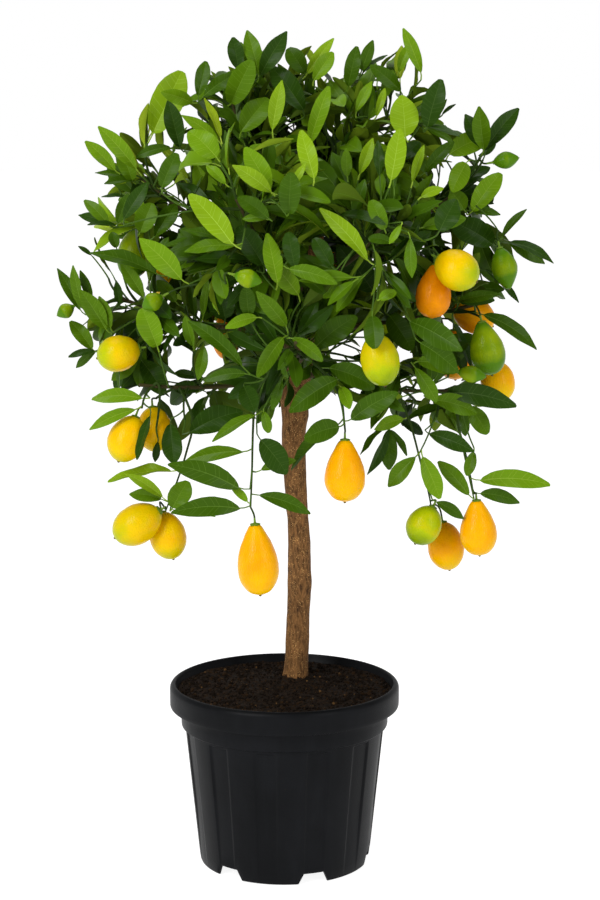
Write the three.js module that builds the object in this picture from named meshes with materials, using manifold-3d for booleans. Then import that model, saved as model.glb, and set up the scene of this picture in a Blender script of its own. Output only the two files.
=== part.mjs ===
// Potted limequat tree: a young standard about 0.8 m tall, in a round nursery pot.
//
// Millimetres, +Z up. The origin is the centre of the pot's flat underside, and the
// plant's front faces -Y. A bearing is an angle round the plant, in degrees from the
// front, growing towards +X.

import * as THREE from 'three';
import { mergeVertices } from 'three/addons/utils/BufferGeometryUtils.js';
import Module from 'manifold-3d';

const wasm = await Module();
wasm.setup();

// Driving dimensions: the pot

const CLEARANCE = 0.3; // between two neighbouring pieces
const HAIR = 0.03; // edges shorter than this are drawn together where pieces are joined
const OVERCUT = 1; // how far a cut runs past the face that it opens

const POT = {
  height: 175,
  footRadius: 81.8, // outer radius at the ground
  bodyRadius: 95.7, // outer radius just under the shoulder
  bodyTop: 134.5,
  wall: 3.2,
  shoulderRadius: 99.2,
  shoulderFoot: 134,
  shoulderEase: 4, // how far below the shoulder the inside starts to widen
  rimRadius: 110,
  rimFoot: 153,
  rimLip: 104.5, // inner radius of the rim's top edge
  lipDraft: 1.5, // how much narrower the inside is at the soil than at the lip
  rimHem: 1, // chamfer on the rim's lower edge
  rimRound: 4.5, // height over which the rim's top edge is rounded
  rimEase: 1.6, // chamfer on the rim's inner edge
  floorHeight: 10.5, // underside of the floor above the ground
  floorThickness: 2.5,
  padRadius: 30, // flat pad in the middle of the floor, which stands on the ground
  padSlope: 8, // how far the pad widens up to the floor
  segments: 30,
};

// Rounded top edge of the rim: inset and drop, both as shares of its height.
const RIM_TOP = [[0, 1], [0.2, 0.33], [0.62, 0]];

const FLUTES = {
  count: 12,
  firstBearing: -10.5,
  halfFloor: 5.6, // degrees from the middle of a flute to the edge of its floor
  halfMouth: 7.1, // degrees from the middle of a flute to the raised wall
  depth: 1.2,
};

const NOTCHES = {
  count: 6,
  firstBearing: 20.2,
  mouth: 30, // width at the ground
  crown: 20, // width at the top
  height: 10,
  depth: 30, // more than the wall
};

const SOIL = {
  edgeHeight: 167.5,
  middleHeight: 169,
  moundHeight: 173, // top of the low mound that the trunk stands in
  moundFlat: 18, // radius of the mound's top, its slope's upper edge and its foot
  moundSlope: 31,
  moundRadius: 52,
  moundFall: 2, // from the top to the slope's upper edge
  moundDepth: 6, // how far the mound is sunk below the soil's edge
  moundSides: 20,
};

// Driving dimensions: the woody frame

// Trunk, from the soil to the tip of its leader: centre, height and radius of the wood.
const TRUNK_STATIONS = [
  { x: 10.4, y: 33.5, z: 165, radius: 13.6 },
  { x: 11.4, y: 32.5, z: 186, radius: 11.3 },
  { x: 13.1, y: 30, z: 230, radius: 10.8 },
  { x: 14.5, y: 28, z: 262, radius: 11.2 },
  { x: 13.2, y: 26, z: 320, radius: 10.4 },
  { x: 10.2, y: 23, z: 372, radius: 10.6 },
  { x: 9.1, y: 21, z: 420, radius: 11.4 },
  { x: 11, y: 19, z: 452, radius: 12.6 },
  { x: 19, y: 15, z: 500, radius: 9.6 },
  { x: 27, y: 11, z: 548, radius: 7.8 },
  { x: 31, y: 7, z: 600, radius: 6.2 },
  { x: 42, y: 3, z: 652, radius: 4.4 },
];

const TRUNK_SIDES = 10;
const TRUNK_STEPS = 16;
const LIMB_SIDE = [0.31, 0.83, 0.47]; // the way that the first side of a limb's foot faces

const BOUGH = {
  rootRadius: 5.2,
  tipRadius: 3.3,
  entry: 0.62, // depth at which a bough enters its mass, of the mass's reach
  least: 0.1, // the least of the way to the middle of its mass that a bough runs
  lift: 0.55, // how steeply a bough rises before it bends outwards
  rise: 6, // the least that its bend lies above its root
  sides: 5,
  steps: 3,
};

const STEM = {
  rootShare: 0.92, // radius at its foot, of the limb that it goes on from
  tipRadius: 1.6,
  knee: 0.6, // how far it keeps the heading of that limb, of the way to the middle
  reach: 0.42, // how far past the middle of its mass a stem runs, of the mass's reach
  firstBud: 0.1, // place of the lowest shoot along a stem
  sides: 4,
  steps: 3,
};

const TWIG = {
  radius: 1.7,
  sides: 3,
  steps: 2,
};

const LEAF = {
  length: 74,
  width: 36,
  thickness: 1.5,
  widest: 0.45, // place of the widest point along the leaf
  fold: 3, // how far the edges stand above the midrib
  droop: 5, // how far the tip curls under
  smallest: 0.82, // size of the smallest leaf, and how far sizes spread above it
  spread: 0.3,
  youngShare: 0.12, // how much smaller the last leaf of a shoot is than its lowest
};

const SHOOT = {
  leafyLength: 72, // stretch of a shoot that carries leaves
  leafyShare: 0.8, // the most that this is of the whole shoot
  turn: 137.5, // degrees round the twig from one leaf to the next
  wideAngle: 66, // degrees from the twig to its lowest leaf
  closeAngle: 26, // degrees from the twig to its last leaf
  turnSpread: 30, // degrees by which the turn and the angle vary
  angleSpread: 16,
  bareTip: 0.03, // share of the shoot beyond its last leaf
  leaves: 12, // places for leaves, from the tip down
  shallow: 0.34, // nearest and farthest that a shoot ends from the middle of its mass
  deep: 0.68,
  levelBelow: -0.2, // shoots lower than this in a low mass grow level, and the rest rise
  highTier: 3, // from this tier up all shoots rise
  spacing: 11, // least distance between the midribs of two leaves
  spacedFrom: 0.35, // place along a leaf from which it keeps that distance
};

// How a shoot bends, in shares of its length, and how much its leaves droop.
const HABITS = {
  rising: { ahead: 0.16, lift: -0.1, weight: 0.05 },
  level: { ahead: 0.16, lift: 0.15, weight: 0.3 },
  hanging: { ahead: 0, lift: 0.12, weight: 0.3 },
};

const SAG = 0.25; // how much further one leaf droops than another

// Which way a leaf faces besides outwards: along its twig, up, and by chance.
const FACE = { along: 0.3, up: 0.45, chance: 0.8 };

// Room that a leaf keeps on each side of its midrib, in shares of its width.
const LEAF_ROOM = { limb: 0.3, ownFruit: 1 / 6, otherFruit: 1 / 2 };

const STALK = {
  radius: 1.3,
  sunk: 3, // how far a stalk runs into its fruit
  lowest: 0.2, // stretch of a twig that a stalk may leave from, and the tries along it
  highest: 0.85,
  tries: 14,
  climb: 0.6, // how much a rise to the fruit counts beside the distance
  bendPlace: 0.6,
  bendRise: 4,
};

const FRUIT_GAP = 1; // between a fruit and what grows in the next mass

const GOLDEN_ANGLE = Math.PI * (3 - Math.sqrt(5));

const heart = new THREE.Vector3(18, 8, 540); // middle of the crown, which leaves face away from

// Masses of foliage: middle, reach along each axis to the leaf tips, the height at which
// the bough leaves the trunk, and the number of shoots that the seeded rule grows.
const MASSES = [
  { name: 'top_left', middle: [-28, -18, 688], reach: [92, 92, 100], fork: 590, tier: 4, shoots: 5 },
  { name: 'top_right', middle: [82, -14, 688], reach: [92, 92, 100], fork: 652, tier: 4, shoots: 5 },
  { name: 'top_back', middle: [26, 70, 676], reach: [104, 104, 100], fork: 606, tier: 4, shoots: 8 },
  { name: 'upper_left', middle: [-98, 0, 634], reach: [98, 104, 98], fork: 556, tier: 3, shoots: 5 },
  { name: 'upper_right', middle: [136, 4, 630], reach: [98, 104, 98], fork: 566, tier: 3, shoots: 5 },
  { name: 'upper_front_left', middle: [-26, -98, 618], reach: [98, 100, 98], fork: 534, tier: 3, shoots: 6 },
  { name: 'upper_front_right', middle: [74, -98, 604], reach: [98, 100, 98], fork: 546, tier: 3, shoots: 6 },
  { name: 'upper_back_left', middle: [-66, 104, 594], reach: [104, 100, 98], fork: 524, tier: 3, shoots: 5 },
  { name: 'upper_back_right', middle: [104, 104, 590], reach: [104, 100, 98], fork: 514, tier: 3, shoots: 5 },
  { name: 'side_left', middle: [-118, -10, 536], reach: [98, 100, 90], fork: 492, tier: 2, shoots: 5 },
  { name: 'side_right', middle: [150, -4, 534], reach: [104, 100, 92], fork: 504, tier: 2, shoots: 5 },
  { name: 'lower_left', middle: [-92, -38, 468], reach: [108, 96, 78], fork: 462, tier: 1, shoots: 5 },
  { name: 'lower_right', middle: [118, -38, 466], reach: [112, 96, 78], fork: 470, tier: 1, shoots: 5 },
  { name: 'lower_front', middle: [12, -96, 508], reach: [92, 96, 86], fork: 478, tier: 1, shoots: 5 },
  { name: 'lower_back', middle: [14, 108, 488], reach: [128, 94, 82], fork: 482, tier: 1, shoots: 6 },
];

// Leading shoots, which reach past the rest: where each ends, and whether it rises or hangs.
const LEADERS = [
  { tip: [-32, -24, 742], habit: 'rising' },
  { tip: [4, -6, 738], habit: 'rising' },
  { tip: [50, -16, 734], habit: 'rising' },
  { tip: [98, -12, 742], habit: 'rising' },
  { tip: [130, -22, 700], habit: 'rising' },
  { tip: [184, -4, 684], habit: 'rising' },
  { tip: [176, -34, 618], habit: 'rising' },
  { tip: [-92, -20, 708], habit: 'rising' },
  { tip: [-128, -10, 684], habit: 'rising' },
  { tip: [-146, -12, 656], habit: 'rising' },
  { tip: [-150, -24, 600], habit: 'rising' },
  { tip: [-164, -18, 540], habit: 'level' },
  { tip: [-156, -34, 496], habit: 'level' },
  { tip: [200, -24, 560], habit: 'level' },
  { tip: [196, 0, 596], habit: 'rising' },
  { tip: [194, -30, 516], habit: 'level' },
  { tip: [-148, -48, 444], habit: 'level' },
  { tip: [176, -36, 444], habit: 'level' },
  { tip: [-97, -62, 396], habit: 'hanging' },
  { tip: [-126, -58, 390], habit: 'hanging' },
  { tip: [-27, -118, 378], habit: 'hanging' },
  { tip: [54, -108, 440], habit: 'hanging' },
  { tip: [130, -58, 388], habit: 'hanging' },
  { tip: [176, -52, 388], habit: 'hanging' },
];

// Fruit that shows from a step away: middle, width, length, and the way it leans from
// hanging straight down (bearing and angle).
const FRUITS = [
  { middle: [-151, -52, 498], width: 33, length: 40, bearing: -80, lean: 78 },
  { middle: [-143, -66, 421], width: 34, length: 44, bearing: -60, lean: 24 },
  { middle: [-120, -34, 425], width: 33, length: 42, bearing: 30, lean: 10 },
  { middle: [-135, -62, 341], width: 37, length: 49, bearing: -90, lean: 58 },
  { middle: [-108, -46, 327], width: 34, length: 45, bearing: 60, lean: 16 },
  { middle: [-23, -120, 320], width: 37, length: 65, bearing: 90, lean: 4 },
  { middle: [55, -110, 399], width: 36, length: 56, bearing: 0, lean: 4 },
  { middle: [85, -126, 501], width: 34, length: 47, bearing: 80, lean: 12 },
  { middle: [129, -62, 340], width: 32, length: 38, bearing: -80, lean: 26 },
  { middle: [152, -26, 313], width: 34, length: 46, bearing: 60, lean: 10 },
  { middle: [179, -60, 337], width: 34, length: 52, bearing: 90, lean: 4 },
  { middle: [196, -16, 466], width: 36, length: 46, bearing: 60, lean: 20 },
  { middle: [185, -58, 503], width: 31, length: 49, bearing: 90, lean: 10 },
  { middle: [178, 8, 527], width: 33, length: 42, bearing: 90, lean: 60 },
  { middle: [134, -92, 558], width: 32, length: 48, bearing: -40, lean: 8 },
  { middle: [153, -112, 579], width: 36, length: 42, bearing: -80, lean: 70 },
  { middle: [201, -46, 575], width: 24, length: 39, bearing: 90, lean: 14 },
  { middle: [204, -14, 672], width: 16, length: 24, bearing: 90, lean: 100 },
  { middle: [-203, -12, 533], width: 14, length: 18, bearing: -90, lean: 60 },
  { middle: [-117, -84, 548], width: 17, length: 21, bearing: -90, lean: 60 },
  { middle: [-29, -180, 577], width: 16, length: 24, bearing: 90, lean: 75 },
  { middle: [169, -92, 484], width: 15, length: 26, bearing: 90, lean: 80 },
];

// Fruit on the far side, dealt round the back by a rule.
const BACK_FRUIT = {
  count: 8,
  firstBearing: 92,
  lastBearing: 268,
  bearingSpread: 8,
  centre: [20, 5],
  radius: 168,
  lowest: 440,
  rise: 128,
  riseTurn: 0.618, // share of the rise from one fruit to the next
  width: 34,
  length: 49,
  smallest: 0.86, // least share of each size, and how far it spreads above that
  spread: 0.2,
  lengthSpread: 0.24,
  lean: 22,
};

// Outline of a fruit from its stalk to its blossom end: place along it, and breadth.
const FRUIT_OUTLINE = [[0, 0], [0.14, 0.58], [0.52, 1], [0.86, 0.7], [1, 0]];

const FRUIT = {
  sides: 7,
  small: 20, // fruit narrower than this has fewer sides
  smallSides: 5,
  core: [0.3, 0.7], // ends of the stretch that everything else keeps its distance from
};

// Seeds of the random numbers: of the far fruit, and of each mass's shoots and leaves.
const SEEDS = { backFruit: 77, shoots: 1000, massShoots: 37, leaves: 5000, massLeaves: 101, leaf: 7 };

// Colour and roughness of each kind of piece.
const FINISHES = {
  pot: { color: 0x24262a, roughness: 0.5 },
  soil: { color: 0x21170e, roughness: 1 },
  trunk: { color: 0x6a4e33, roughness: 0.85 },
  bough: { color: 0x73573a, roughness: 0.8 },
  foliage: { color: 0x46752a, roughness: 0.5 },
};

// Small tools

const radians = THREE.MathUtils.degToRad;

// Seeded random numbers from 0 to 1.
function seededRandom(seed) {
  let state = seed >>> 0;
  return () => {
    state = (state + 0x6d2b79f5) >>> 0;
    let mixed = state;
    mixed = Math.imul(mixed ^ (mixed >>> 15), mixed | 1);
    mixed ^= mixed + Math.imul(mixed ^ (mixed >>> 7), mixed | 61);
    return ((mixed ^ (mixed >>> 14)) >>> 0) / 4294967296;
  };
}

// Horizontal unit vector at a bearing.
function atBearing(bearing) {
  const angle = radians(bearing);
  return new THREE.Vector3(Math.sin(angle), -Math.cos(angle), 0);
}

// A geometry with shared vertices, no collapsed triangles and its faces pointing out.
function closed(geometry) {
  geometry.deleteAttribute('normal');
  geometry.deleteAttribute('uv');
  const merged = mergeVertices(geometry);
  const corners = merged.index.array;
  const kept = [];
  let volume = 0;
  const [a, b, c] = [new THREE.Vector3(), new THREE.Vector3(), new THREE.Vector3()];
  for (let i = 0; i < corners.length; i += 3) {
    const [p, q, r] = [corners[i], corners[i + 1], corners[i + 2]];
    if (p === q || q === r || r === p) continue;
    kept.push(p, q, r);
    a.fromBufferAttribute(merged.attributes.position, p);
    b.fromBufferAttribute(merged.attributes.position, q);
    c.fromBufferAttribute(merged.attributes.position, r);
    volume += a.dot(b.cross(c));
  }
  merged.setIndex(volume < 0 ? kept.reverse() : kept);
  return merged;
}

// The solid that a closed geometry bounds.
function solid(geometry) {
  const shape = closed(geometry);
  return new wasm.Manifold(new wasm.Mesh({
    numProp: 3,
    vertProperties: new Float32Array(shape.attributes.position.array),
    triVerts: new Uint32Array(shape.index.array),
  }));
}

// The largest single body of a solid, without loose scraps or sealed hollows.
function mainBody(shape) {
  const bodies = shape.decompose();
  return bodies.reduce((best, body) => (body.volume() > best.volume() ? body : best));
}

// Triangles of a mesh after the ends of its hair-short edges are drawn together, wherever
// the surface stays whole.
function withoutHairs(place, corners) {
  const at = (corner) => new THREE.Vector3().fromArray(place, corner * 3);
  let triangles = [];
  for (let i = 0; i < corners.length; i += 3) triangles.push([...corners.slice(i, i + 3)]);
  const shortEdge = () => {
    for (const [a, b, c] of triangles) {
      for (const [from, to] of [[a, b], [b, c], [c, a]]) {
        if (at(from).distanceTo(at(to)) < HAIR) {
          const around = (corner) => triangles.filter((each) => each.includes(corner)).flat();
          const ring = new Set(around(from));
          const shared = new Set(around(to).filter((corner) => ring.has(corner)));
          if (shared.size === 4) return [from, to];
        }
      }
    }
    return null;
  };
  for (let edge = shortEdge(); edge; edge = shortEdge()) {
    const [from, to] = edge;
    triangles = triangles
      .map((triangle) => triangle.map((corner) => (corner === to ? from : corner)))
      .filter(([a, b, c]) => a !== b && b !== c && c !== a);
  }
  return triangles.flat();
}

// A named mesh with its own material.
function piece(name, shape, finish) {
  const { vertProperties, triVerts } = shape.getMesh();
  const geometry = new THREE.BufferGeometry();
  geometry.setAttribute('position', new THREE.BufferAttribute(vertProperties, 3));
  geometry.setIndex(withoutHairs(vertProperties, triVerts));
  geometry.computeVertexNormals();
  const mesh = new THREE.Mesh(geometry, new THREE.MeshStandardMaterial(finish));
  mesh.name = name;
  return mesh;
}

// A solid of revolution about +Z from [radius, height] pairs that start and end on the
// axis, or that close on themselves.
function turned(profile, segments = POT.segments) {
  const points = profile.map(([radius, height]) => new THREE.Vector2(radius, height));
  return solid(new THREE.LatheGeometry(points, segments).rotateX(Math.PI / 2));
}

// Pot

// Radius of the pot's plain body at a height.
function bodyRadius(height) {
  return THREE.MathUtils.mapLinear(height, 0, POT.bodyTop, POT.footRadius, POT.bodyRadius);
}

// The pot's tapered body, with shallow flutes let into it from the foot to the shoulder.
function flutedBody() {
  const { halfFloor, halfMouth, depth } = FLUTES;
  const pitch = 360 / FLUTES.count;
  const outline = [
    [-halfMouth, 0], [-halfFloor, depth], [halfFloor, depth], [halfMouth, 0], [pitch / 2, 0],
  ];
  const ring = [];
  for (let flute = 0; flute < FLUTES.count; flute += 1) {
    for (const [bearing, inset] of outline) {
      ring.push({ way: atBearing(FLUTES.firstBearing + flute * pitch + bearing), inset });
    }
  }
  const geometry = new THREE.CylinderGeometry(1, 1, 1, ring.length, 1);
  const place = geometry.attributes.position;
  for (let i = 0; i < place.count; i += 1) {
    const height = place.getY(i) > 0 ? POT.bodyTop : 0;
    const onAxis = Math.hypot(place.getX(i), place.getZ(i)) < 0.5;
    const turn = Math.atan2(place.getX(i), place.getZ(i)) / (2 * Math.PI);
    const step = Math.round((turn + 1) * ring.length) % ring.length;
    const radius = onAxis ? 0 : bodyRadius(height) - ring[step].inset;
    place.setXYZ(i, ring[step].way.x * radius, ring[step].way.y * radius, height);
  }
  return solid(geometry);
}

// Shoulder and rim above the fluted body.
function rimAndShoulder() {
  const { rimRadius, height, rimRound, shoulderRadius, shoulderFoot, rimFoot, rimHem } = POT;
  return turned([
    [0, shoulderFoot],
    [shoulderRadius - rimHem, shoulderFoot],
    [shoulderRadius, rimFoot],
    [rimRadius - rimHem, rimFoot],
    [rimRadius, rimFoot + rimHem],
    ...RIM_TOP.map(([inset, drop]) => [rimRadius - inset * rimRound, height - drop * rimRound]),
    [0, height],
  ]);
}

// Radius of the pot's inside at a height below the shoulder.
function innerRadius(height) {
  return bodyRadius(height) - POT.wall;
}

// Upright profile of the room inside the pot, drawn in by a margin, from the floor to the
// soil's edge.
function wallProfile(margin) {
  const shelf = POT.floorHeight + POT.floorThickness;
  const bend = POT.shoulderFoot - POT.shoulderEase;
  return [
    [innerRadius(shelf) - margin, shelf + margin],
    [innerRadius(bend) - margin, bend],
    [POT.shoulderRadius - POT.wall - margin, POT.rimFoot],
    [POT.rimLip - POT.lipDraft - margin, SOIL.edgeHeight],
  ];
}

// One drain notch through the foot of the wall.
function drainNotch(bearing) {
  const { mouth, crown, height, depth } = NOTCHES;
  const foot = THREE.MathUtils.mapLinear(-OVERCUT, 0, height, mouth, crown) / 2;
  const outline = new THREE.Shape();
  outline.moveTo(-foot, -OVERCUT);
  outline.lineTo(foot, -OVERCUT);
  outline.lineTo(crown / 2, height);
  outline.lineTo(-crown / 2, height);
  outline.closePath();
  const geometry = new THREE.ExtrudeGeometry(outline, { depth, bevelEnabled: false });
  geometry.translate(0, 0, POT.footRadius - depth / 2);
  geometry.rotateX(Math.PI / 2);
  geometry.rotateZ(radians(bearing));
  return solid(geometry);
}

// Radius of the floor's pad at a height above the ground.
function padAt(height) {
  return POT.padRadius + (POT.padSlope * height) / POT.floorHeight;
}

function makePot() {
  const { floorHeight, floorThickness, rimLip, rimEase, height } = POT;
  const underside = turned([
    [padAt(-OVERCUT), -OVERCUT],
    [padAt(floorHeight), floorHeight],
    [innerRadius(floorHeight), floorHeight],
    [innerRadius(-OVERCUT), -OVERCUT],
    [padAt(-OVERCUT), -OVERCUT],
  ]);
  const room = turned([
    [0, floorThickness],
    [padAt(-OVERCUT), floorThickness],
    [padAt(floorHeight - OVERCUT), floorHeight + floorThickness],
    ...wallProfile(0),
    [rimLip, height - rimEase],
    [rimLip + rimEase, height + OVERCUT],
    [0, height + OVERCUT],
  ]);
  let pot = flutedBody().add(rimAndShoulder()).subtract(room).subtract(underside);
  for (let notch = 0; notch < NOTCHES.count; notch += 1) {
    const bearing = NOTCHES.firstBearing + (notch * 360) / NOTCHES.count;
    pot = pot.subtract(drainNotch(bearing));
  }
  return mainBody(pot);
}

function makeSoil() {
  const { edgeHeight, middleHeight, moundHeight, moundRadius } = SOIL;
  const wall = wallProfile(CLEARANCE);
  const fill = turned([[0, wall[0][1]], ...wall, [0, middleHeight]]);
  const mound = turned([
    [0, edgeHeight - SOIL.moundDepth],
    [moundRadius, edgeHeight - SOIL.moundDepth],
    [moundRadius, edgeHeight],
    [SOIL.moundSlope, moundHeight - SOIL.moundFall],
    [SOIL.moundFlat, moundHeight],
    [0, moundHeight],
  ], SOIL.moundSides);
  const foot = TRUNK_STATIONS[0];
  return mainBody(fill.add(mound.translate([foot.x, foot.y, 0])));
}

// Limbs

// A limb's stations: points along a curve, each with its heading and radius. The limb runs
// straight from one station to the next.
function stationsOf(curve, radiusAt, steps) {
  const stations = [];
  for (let step = 0; step <= steps; step += 1) {
    const place = step / steps;
    stations.push({
      at: curve.getPoint(place),
      heading: curve.getTangent(place),
      radius: radiusAt(place),
    });
  }
  return stations;
}

// Point and heading on a limb at a place from 0 to 1 along it.
function onLimb(stations, place) {
  const last = stations.length - 1;
  const index = Math.min(Math.floor(place * last), last - 1);
  const part = place * last - index;
  const [from, to] = [stations[index], stations[index + 1]];
  return {
    at: from.at.clone().lerp(to.at, part),
    heading: from.heading.clone().lerp(to.heading, part).normalize(),
  };
}

// The solid of a limb, with each station's radius widened by a margin. A limb whose last
// radius is 0 is pointed.
function limb(stations, sides, margin = 0) {
  const steps = stations.length - 1;
  const pointed = stations[steps].radius + margin === 0;
  const geometry = new THREE.CylinderGeometry(pointed ? 0 : 1, 1, 1, sides, steps);
  const side = new THREE.Vector3(...LIMB_SIDE).normalize();
  const frames = stations.map(({ heading }) => {
    side.addScaledVector(heading, -side.dot(heading)).normalize();
    return { out: side.clone(), across: heading.clone().cross(side) };
  });
  const place = geometry.attributes.position;
  for (let i = 0; i < place.count; i += 1) {
    const step = Math.round((0.5 + place.getY(i)) * steps);
    const turn = Math.atan2(place.getX(i), place.getZ(i));
    const onAxis = Math.hypot(place.getX(i), place.getZ(i)) < 1e-4;
    const reach = onAxis ? 0 : stations[step].radius + margin;
    const corner = stations[step].at.clone();
    corner.addScaledVector(frames[step].out, reach * Math.cos(turn));
    corner.addScaledVector(frames[step].across, reach * Math.sin(turn));
    place.setXYZ(i, corner.x, corner.y, corner.z);
  }
  return solid(geometry);
}

// Shortest distance between two straight stretches.
function stretchDistance(a0, a1, b0, b1) {
  const along = a1.clone().sub(a0);
  const other = b1.clone().sub(b0);
  const between = a0.clone().sub(b0);
  const aa = along.dot(along);
  const bb = other.dot(other);
  const ab = along.dot(other);
  const spread = aa * bb - ab * ab;
  const clamp = THREE.MathUtils.clamp;
  let s = spread > 1e-9 ? (ab * other.dot(between) - bb * along.dot(between)) / spread : 0;
  s = clamp(s, 0, 1);
  const t = clamp((ab * s + other.dot(between)) / bb, 0, 1);
  s = clamp((ab * t - along.dot(between)) / aa, 0, 1);
  return a0.clone().addScaledVector(along, s).distanceTo(b0.clone().addScaledVector(other, t));
}

const trunkCurve = new THREE.CatmullRomCurve3(
  TRUNK_STATIONS.map(({ x, y, z }) => new THREE.Vector3(x, y, z)), false, 'catmullrom', 0.5,
);

// Radius of the trunk at a place along its curve, from 0 to 1.
function trunkRadius(place) {
  const last = TRUNK_STATIONS.length - 1;
  const index = Math.min(Math.floor(place * last), last - 1);
  const from = TRUNK_STATIONS[index].radius;
  const to = TRUNK_STATIONS[index + 1].radius;
  return THREE.MathUtils.lerp(from, to, place * last - index);
}

// Place along the trunk's curve at a height.
function trunkPlace(height) {
  let low = 0;
  let high = 1;
  for (let halving = 0; halving < 24; halving += 1) {
    const middle = (low + high) / 2;
    if (trunkCurve.getPoint(middle).z < height) low = middle;
    else high = middle;
  }
  return high;
}

const trunk = stationsOf(trunkCurve, trunkRadius, TRUNK_STEPS);

function makeTrunk(margin = 0) {
  const base = SOIL.moundHeight + CLEARANCE - margin;
  return limb(trunk, TRUNK_SIDES, margin).trimByPlane([0, 0, 1], base);
}

// A straight taper from one radius to another.
function taper(from, to) {
  return (place) => THREE.MathUtils.lerp(from, to, place);
}

// The frame of one mass: the bough that leads to it, and the stem that runs on inside.
// A mass at the trunk's tip has a stem and no bough.
function frameOf(mass) {
  const middle = new THREE.Vector3(...mass.middle);
  const reach = new THREE.Vector3(...mass.reach);
  const place = trunkPlace(mass.fork);
  const root = trunkCurve.getPoint(place);
  const fromTrunkTip = mass.fork >= TRUNK_STATIONS.at(-1).z;
  const inward = root.clone().sub(middle);
  const depth = inward.clone().divide(reach).length();
  const part = Math.min(BOUGH.entry / depth, 1 - BOUGH.least);
  const entry = middle.clone().addScaledVector(inward, part);
  const bend = root.clone().lerp(entry, 0.5);
  bend.z = THREE.MathUtils.lerp(root.z, entry.z, (1 + BOUGH.lift) / 2);
  bend.z = Math.max(bend.z, root.z + BOUGH.rise);
  const boughCurve = new THREE.QuadraticBezierCurve3(root, bend, entry);
  const bough = stationsOf(boughCurve, taper(BOUGH.rootRadius, BOUGH.tipRadius), BOUGH.steps);
  const { at: tip, heading, radius } = (fromTrunkTip ? trunk : bough).at(-1);
  const start = tip.clone().addScaledVector(heading, CLEARANCE);
  const onward = middle.clone().sub(start).normalize().multiply(reach).multiplyScalar(STEM.reach);
  const knee = start.clone().addScaledVector(heading, start.distanceTo(middle) * STEM.knee);
  const stemCurve = new THREE.QuadraticBezierCurve3(start, knee, onward.add(middle));
  const stemRadius = taper(radius * STEM.rootShare, STEM.tipRadius);
  const stem = stationsOf(stemCurve, stemRadius, STEM.steps);
  return { middle, reach, bough: fromTrunkTip ? null : bough, stem };
}

const frames = MASSES.map(frameOf);

const limbs = [trunk, ...frames.map(({ bough }) => bough).filter(Boolean)];

// True where a straight stretch with a margin round it stays clear of the trunk and boughs.
function clearOfLimbs(from, to, margin) {
  return limbs.every((stations) => stations.slice(1).every((end, link) => {
    const start = stations[link];
    const room = Math.max(start.radius, end.radius) + margin + CLEARANCE;
    return stretchDistance(from, to, start.at, end.at) > room;
  }));
}

// Space of each mass

// How far a mass reaches from its middle in a direction.
function reachTowards(mass, direction) {
  return new THREE.Vector3(...mass.reach).multiply(direction).length();
}

// Flat walls between a mass and each of its neighbours. Masses of one tier are parted by
// upright walls, so that each keeps what hangs below it.
function wallsOf(index) {
  const mass = MASSES[index];
  const middle = new THREE.Vector3(...mass.middle);
  return MASSES.filter((_, other) => other !== index).map((neighbour) => {
    const apart = new THREE.Vector3(...neighbour.middle).sub(middle);
    if (neighbour.tier === mass.tier) apart.z = 0;
    const direction = apart.clone().normalize();
    const own = reachTowards(mass, direction);
    const share = own / (own + reachTowards(neighbour, direction));
    const limit = direction.dot(middle) + apart.length() * share - CLEARANCE;
    return { direction, limit };
  });
}

const walls = MASSES.map((_, index) => wallsOf(index));

// True where every given point lies in the space of a mass.
function inSpace(index, points) {
  return walls[index].every(({ direction, limit }) => (
    points.every((point) => direction.dot(point) < limit)
  ));
}

// True where a point lies within a mass's reach.
function inReach(index, point) {
  const { middle, reach } = frames[index];
  return point.clone().sub(middle).divide(reach).length() <= 1;
}

// Growth

// How far along its mass's stem a shoot's tip lies, from 0 at the stem's start.
function abreast(stem, tip) {
  const run = stem.at(-1).at.clone().sub(stem[0].at);
  return tip.clone().sub(stem[0].at).dot(run) / run.lengthSq();
}

// A shoot from its bud on the stem to its tip, bent by its habit.
function shootOf(stem, tip, habit, place) {
  const { at: bud, heading } = onLimb(stem, place);
  const length = bud.distanceTo(tip);
  const { ahead, lift } = HABITS[habit];
  const bend = bud.clone().lerp(tip, 0.5).addScaledVector(heading, length * ahead);
  if (habit === 'hanging') bend.set(tip.x, tip.y, Math.max(bud.z, tip.z));
  bend.z += length * lift;
  const curve = new THREE.QuadraticBezierCurve3(bud, bend, tip);
  return stationsOf(curve, taper(TWIG.radius, 0), TWIG.steps);
}

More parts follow.
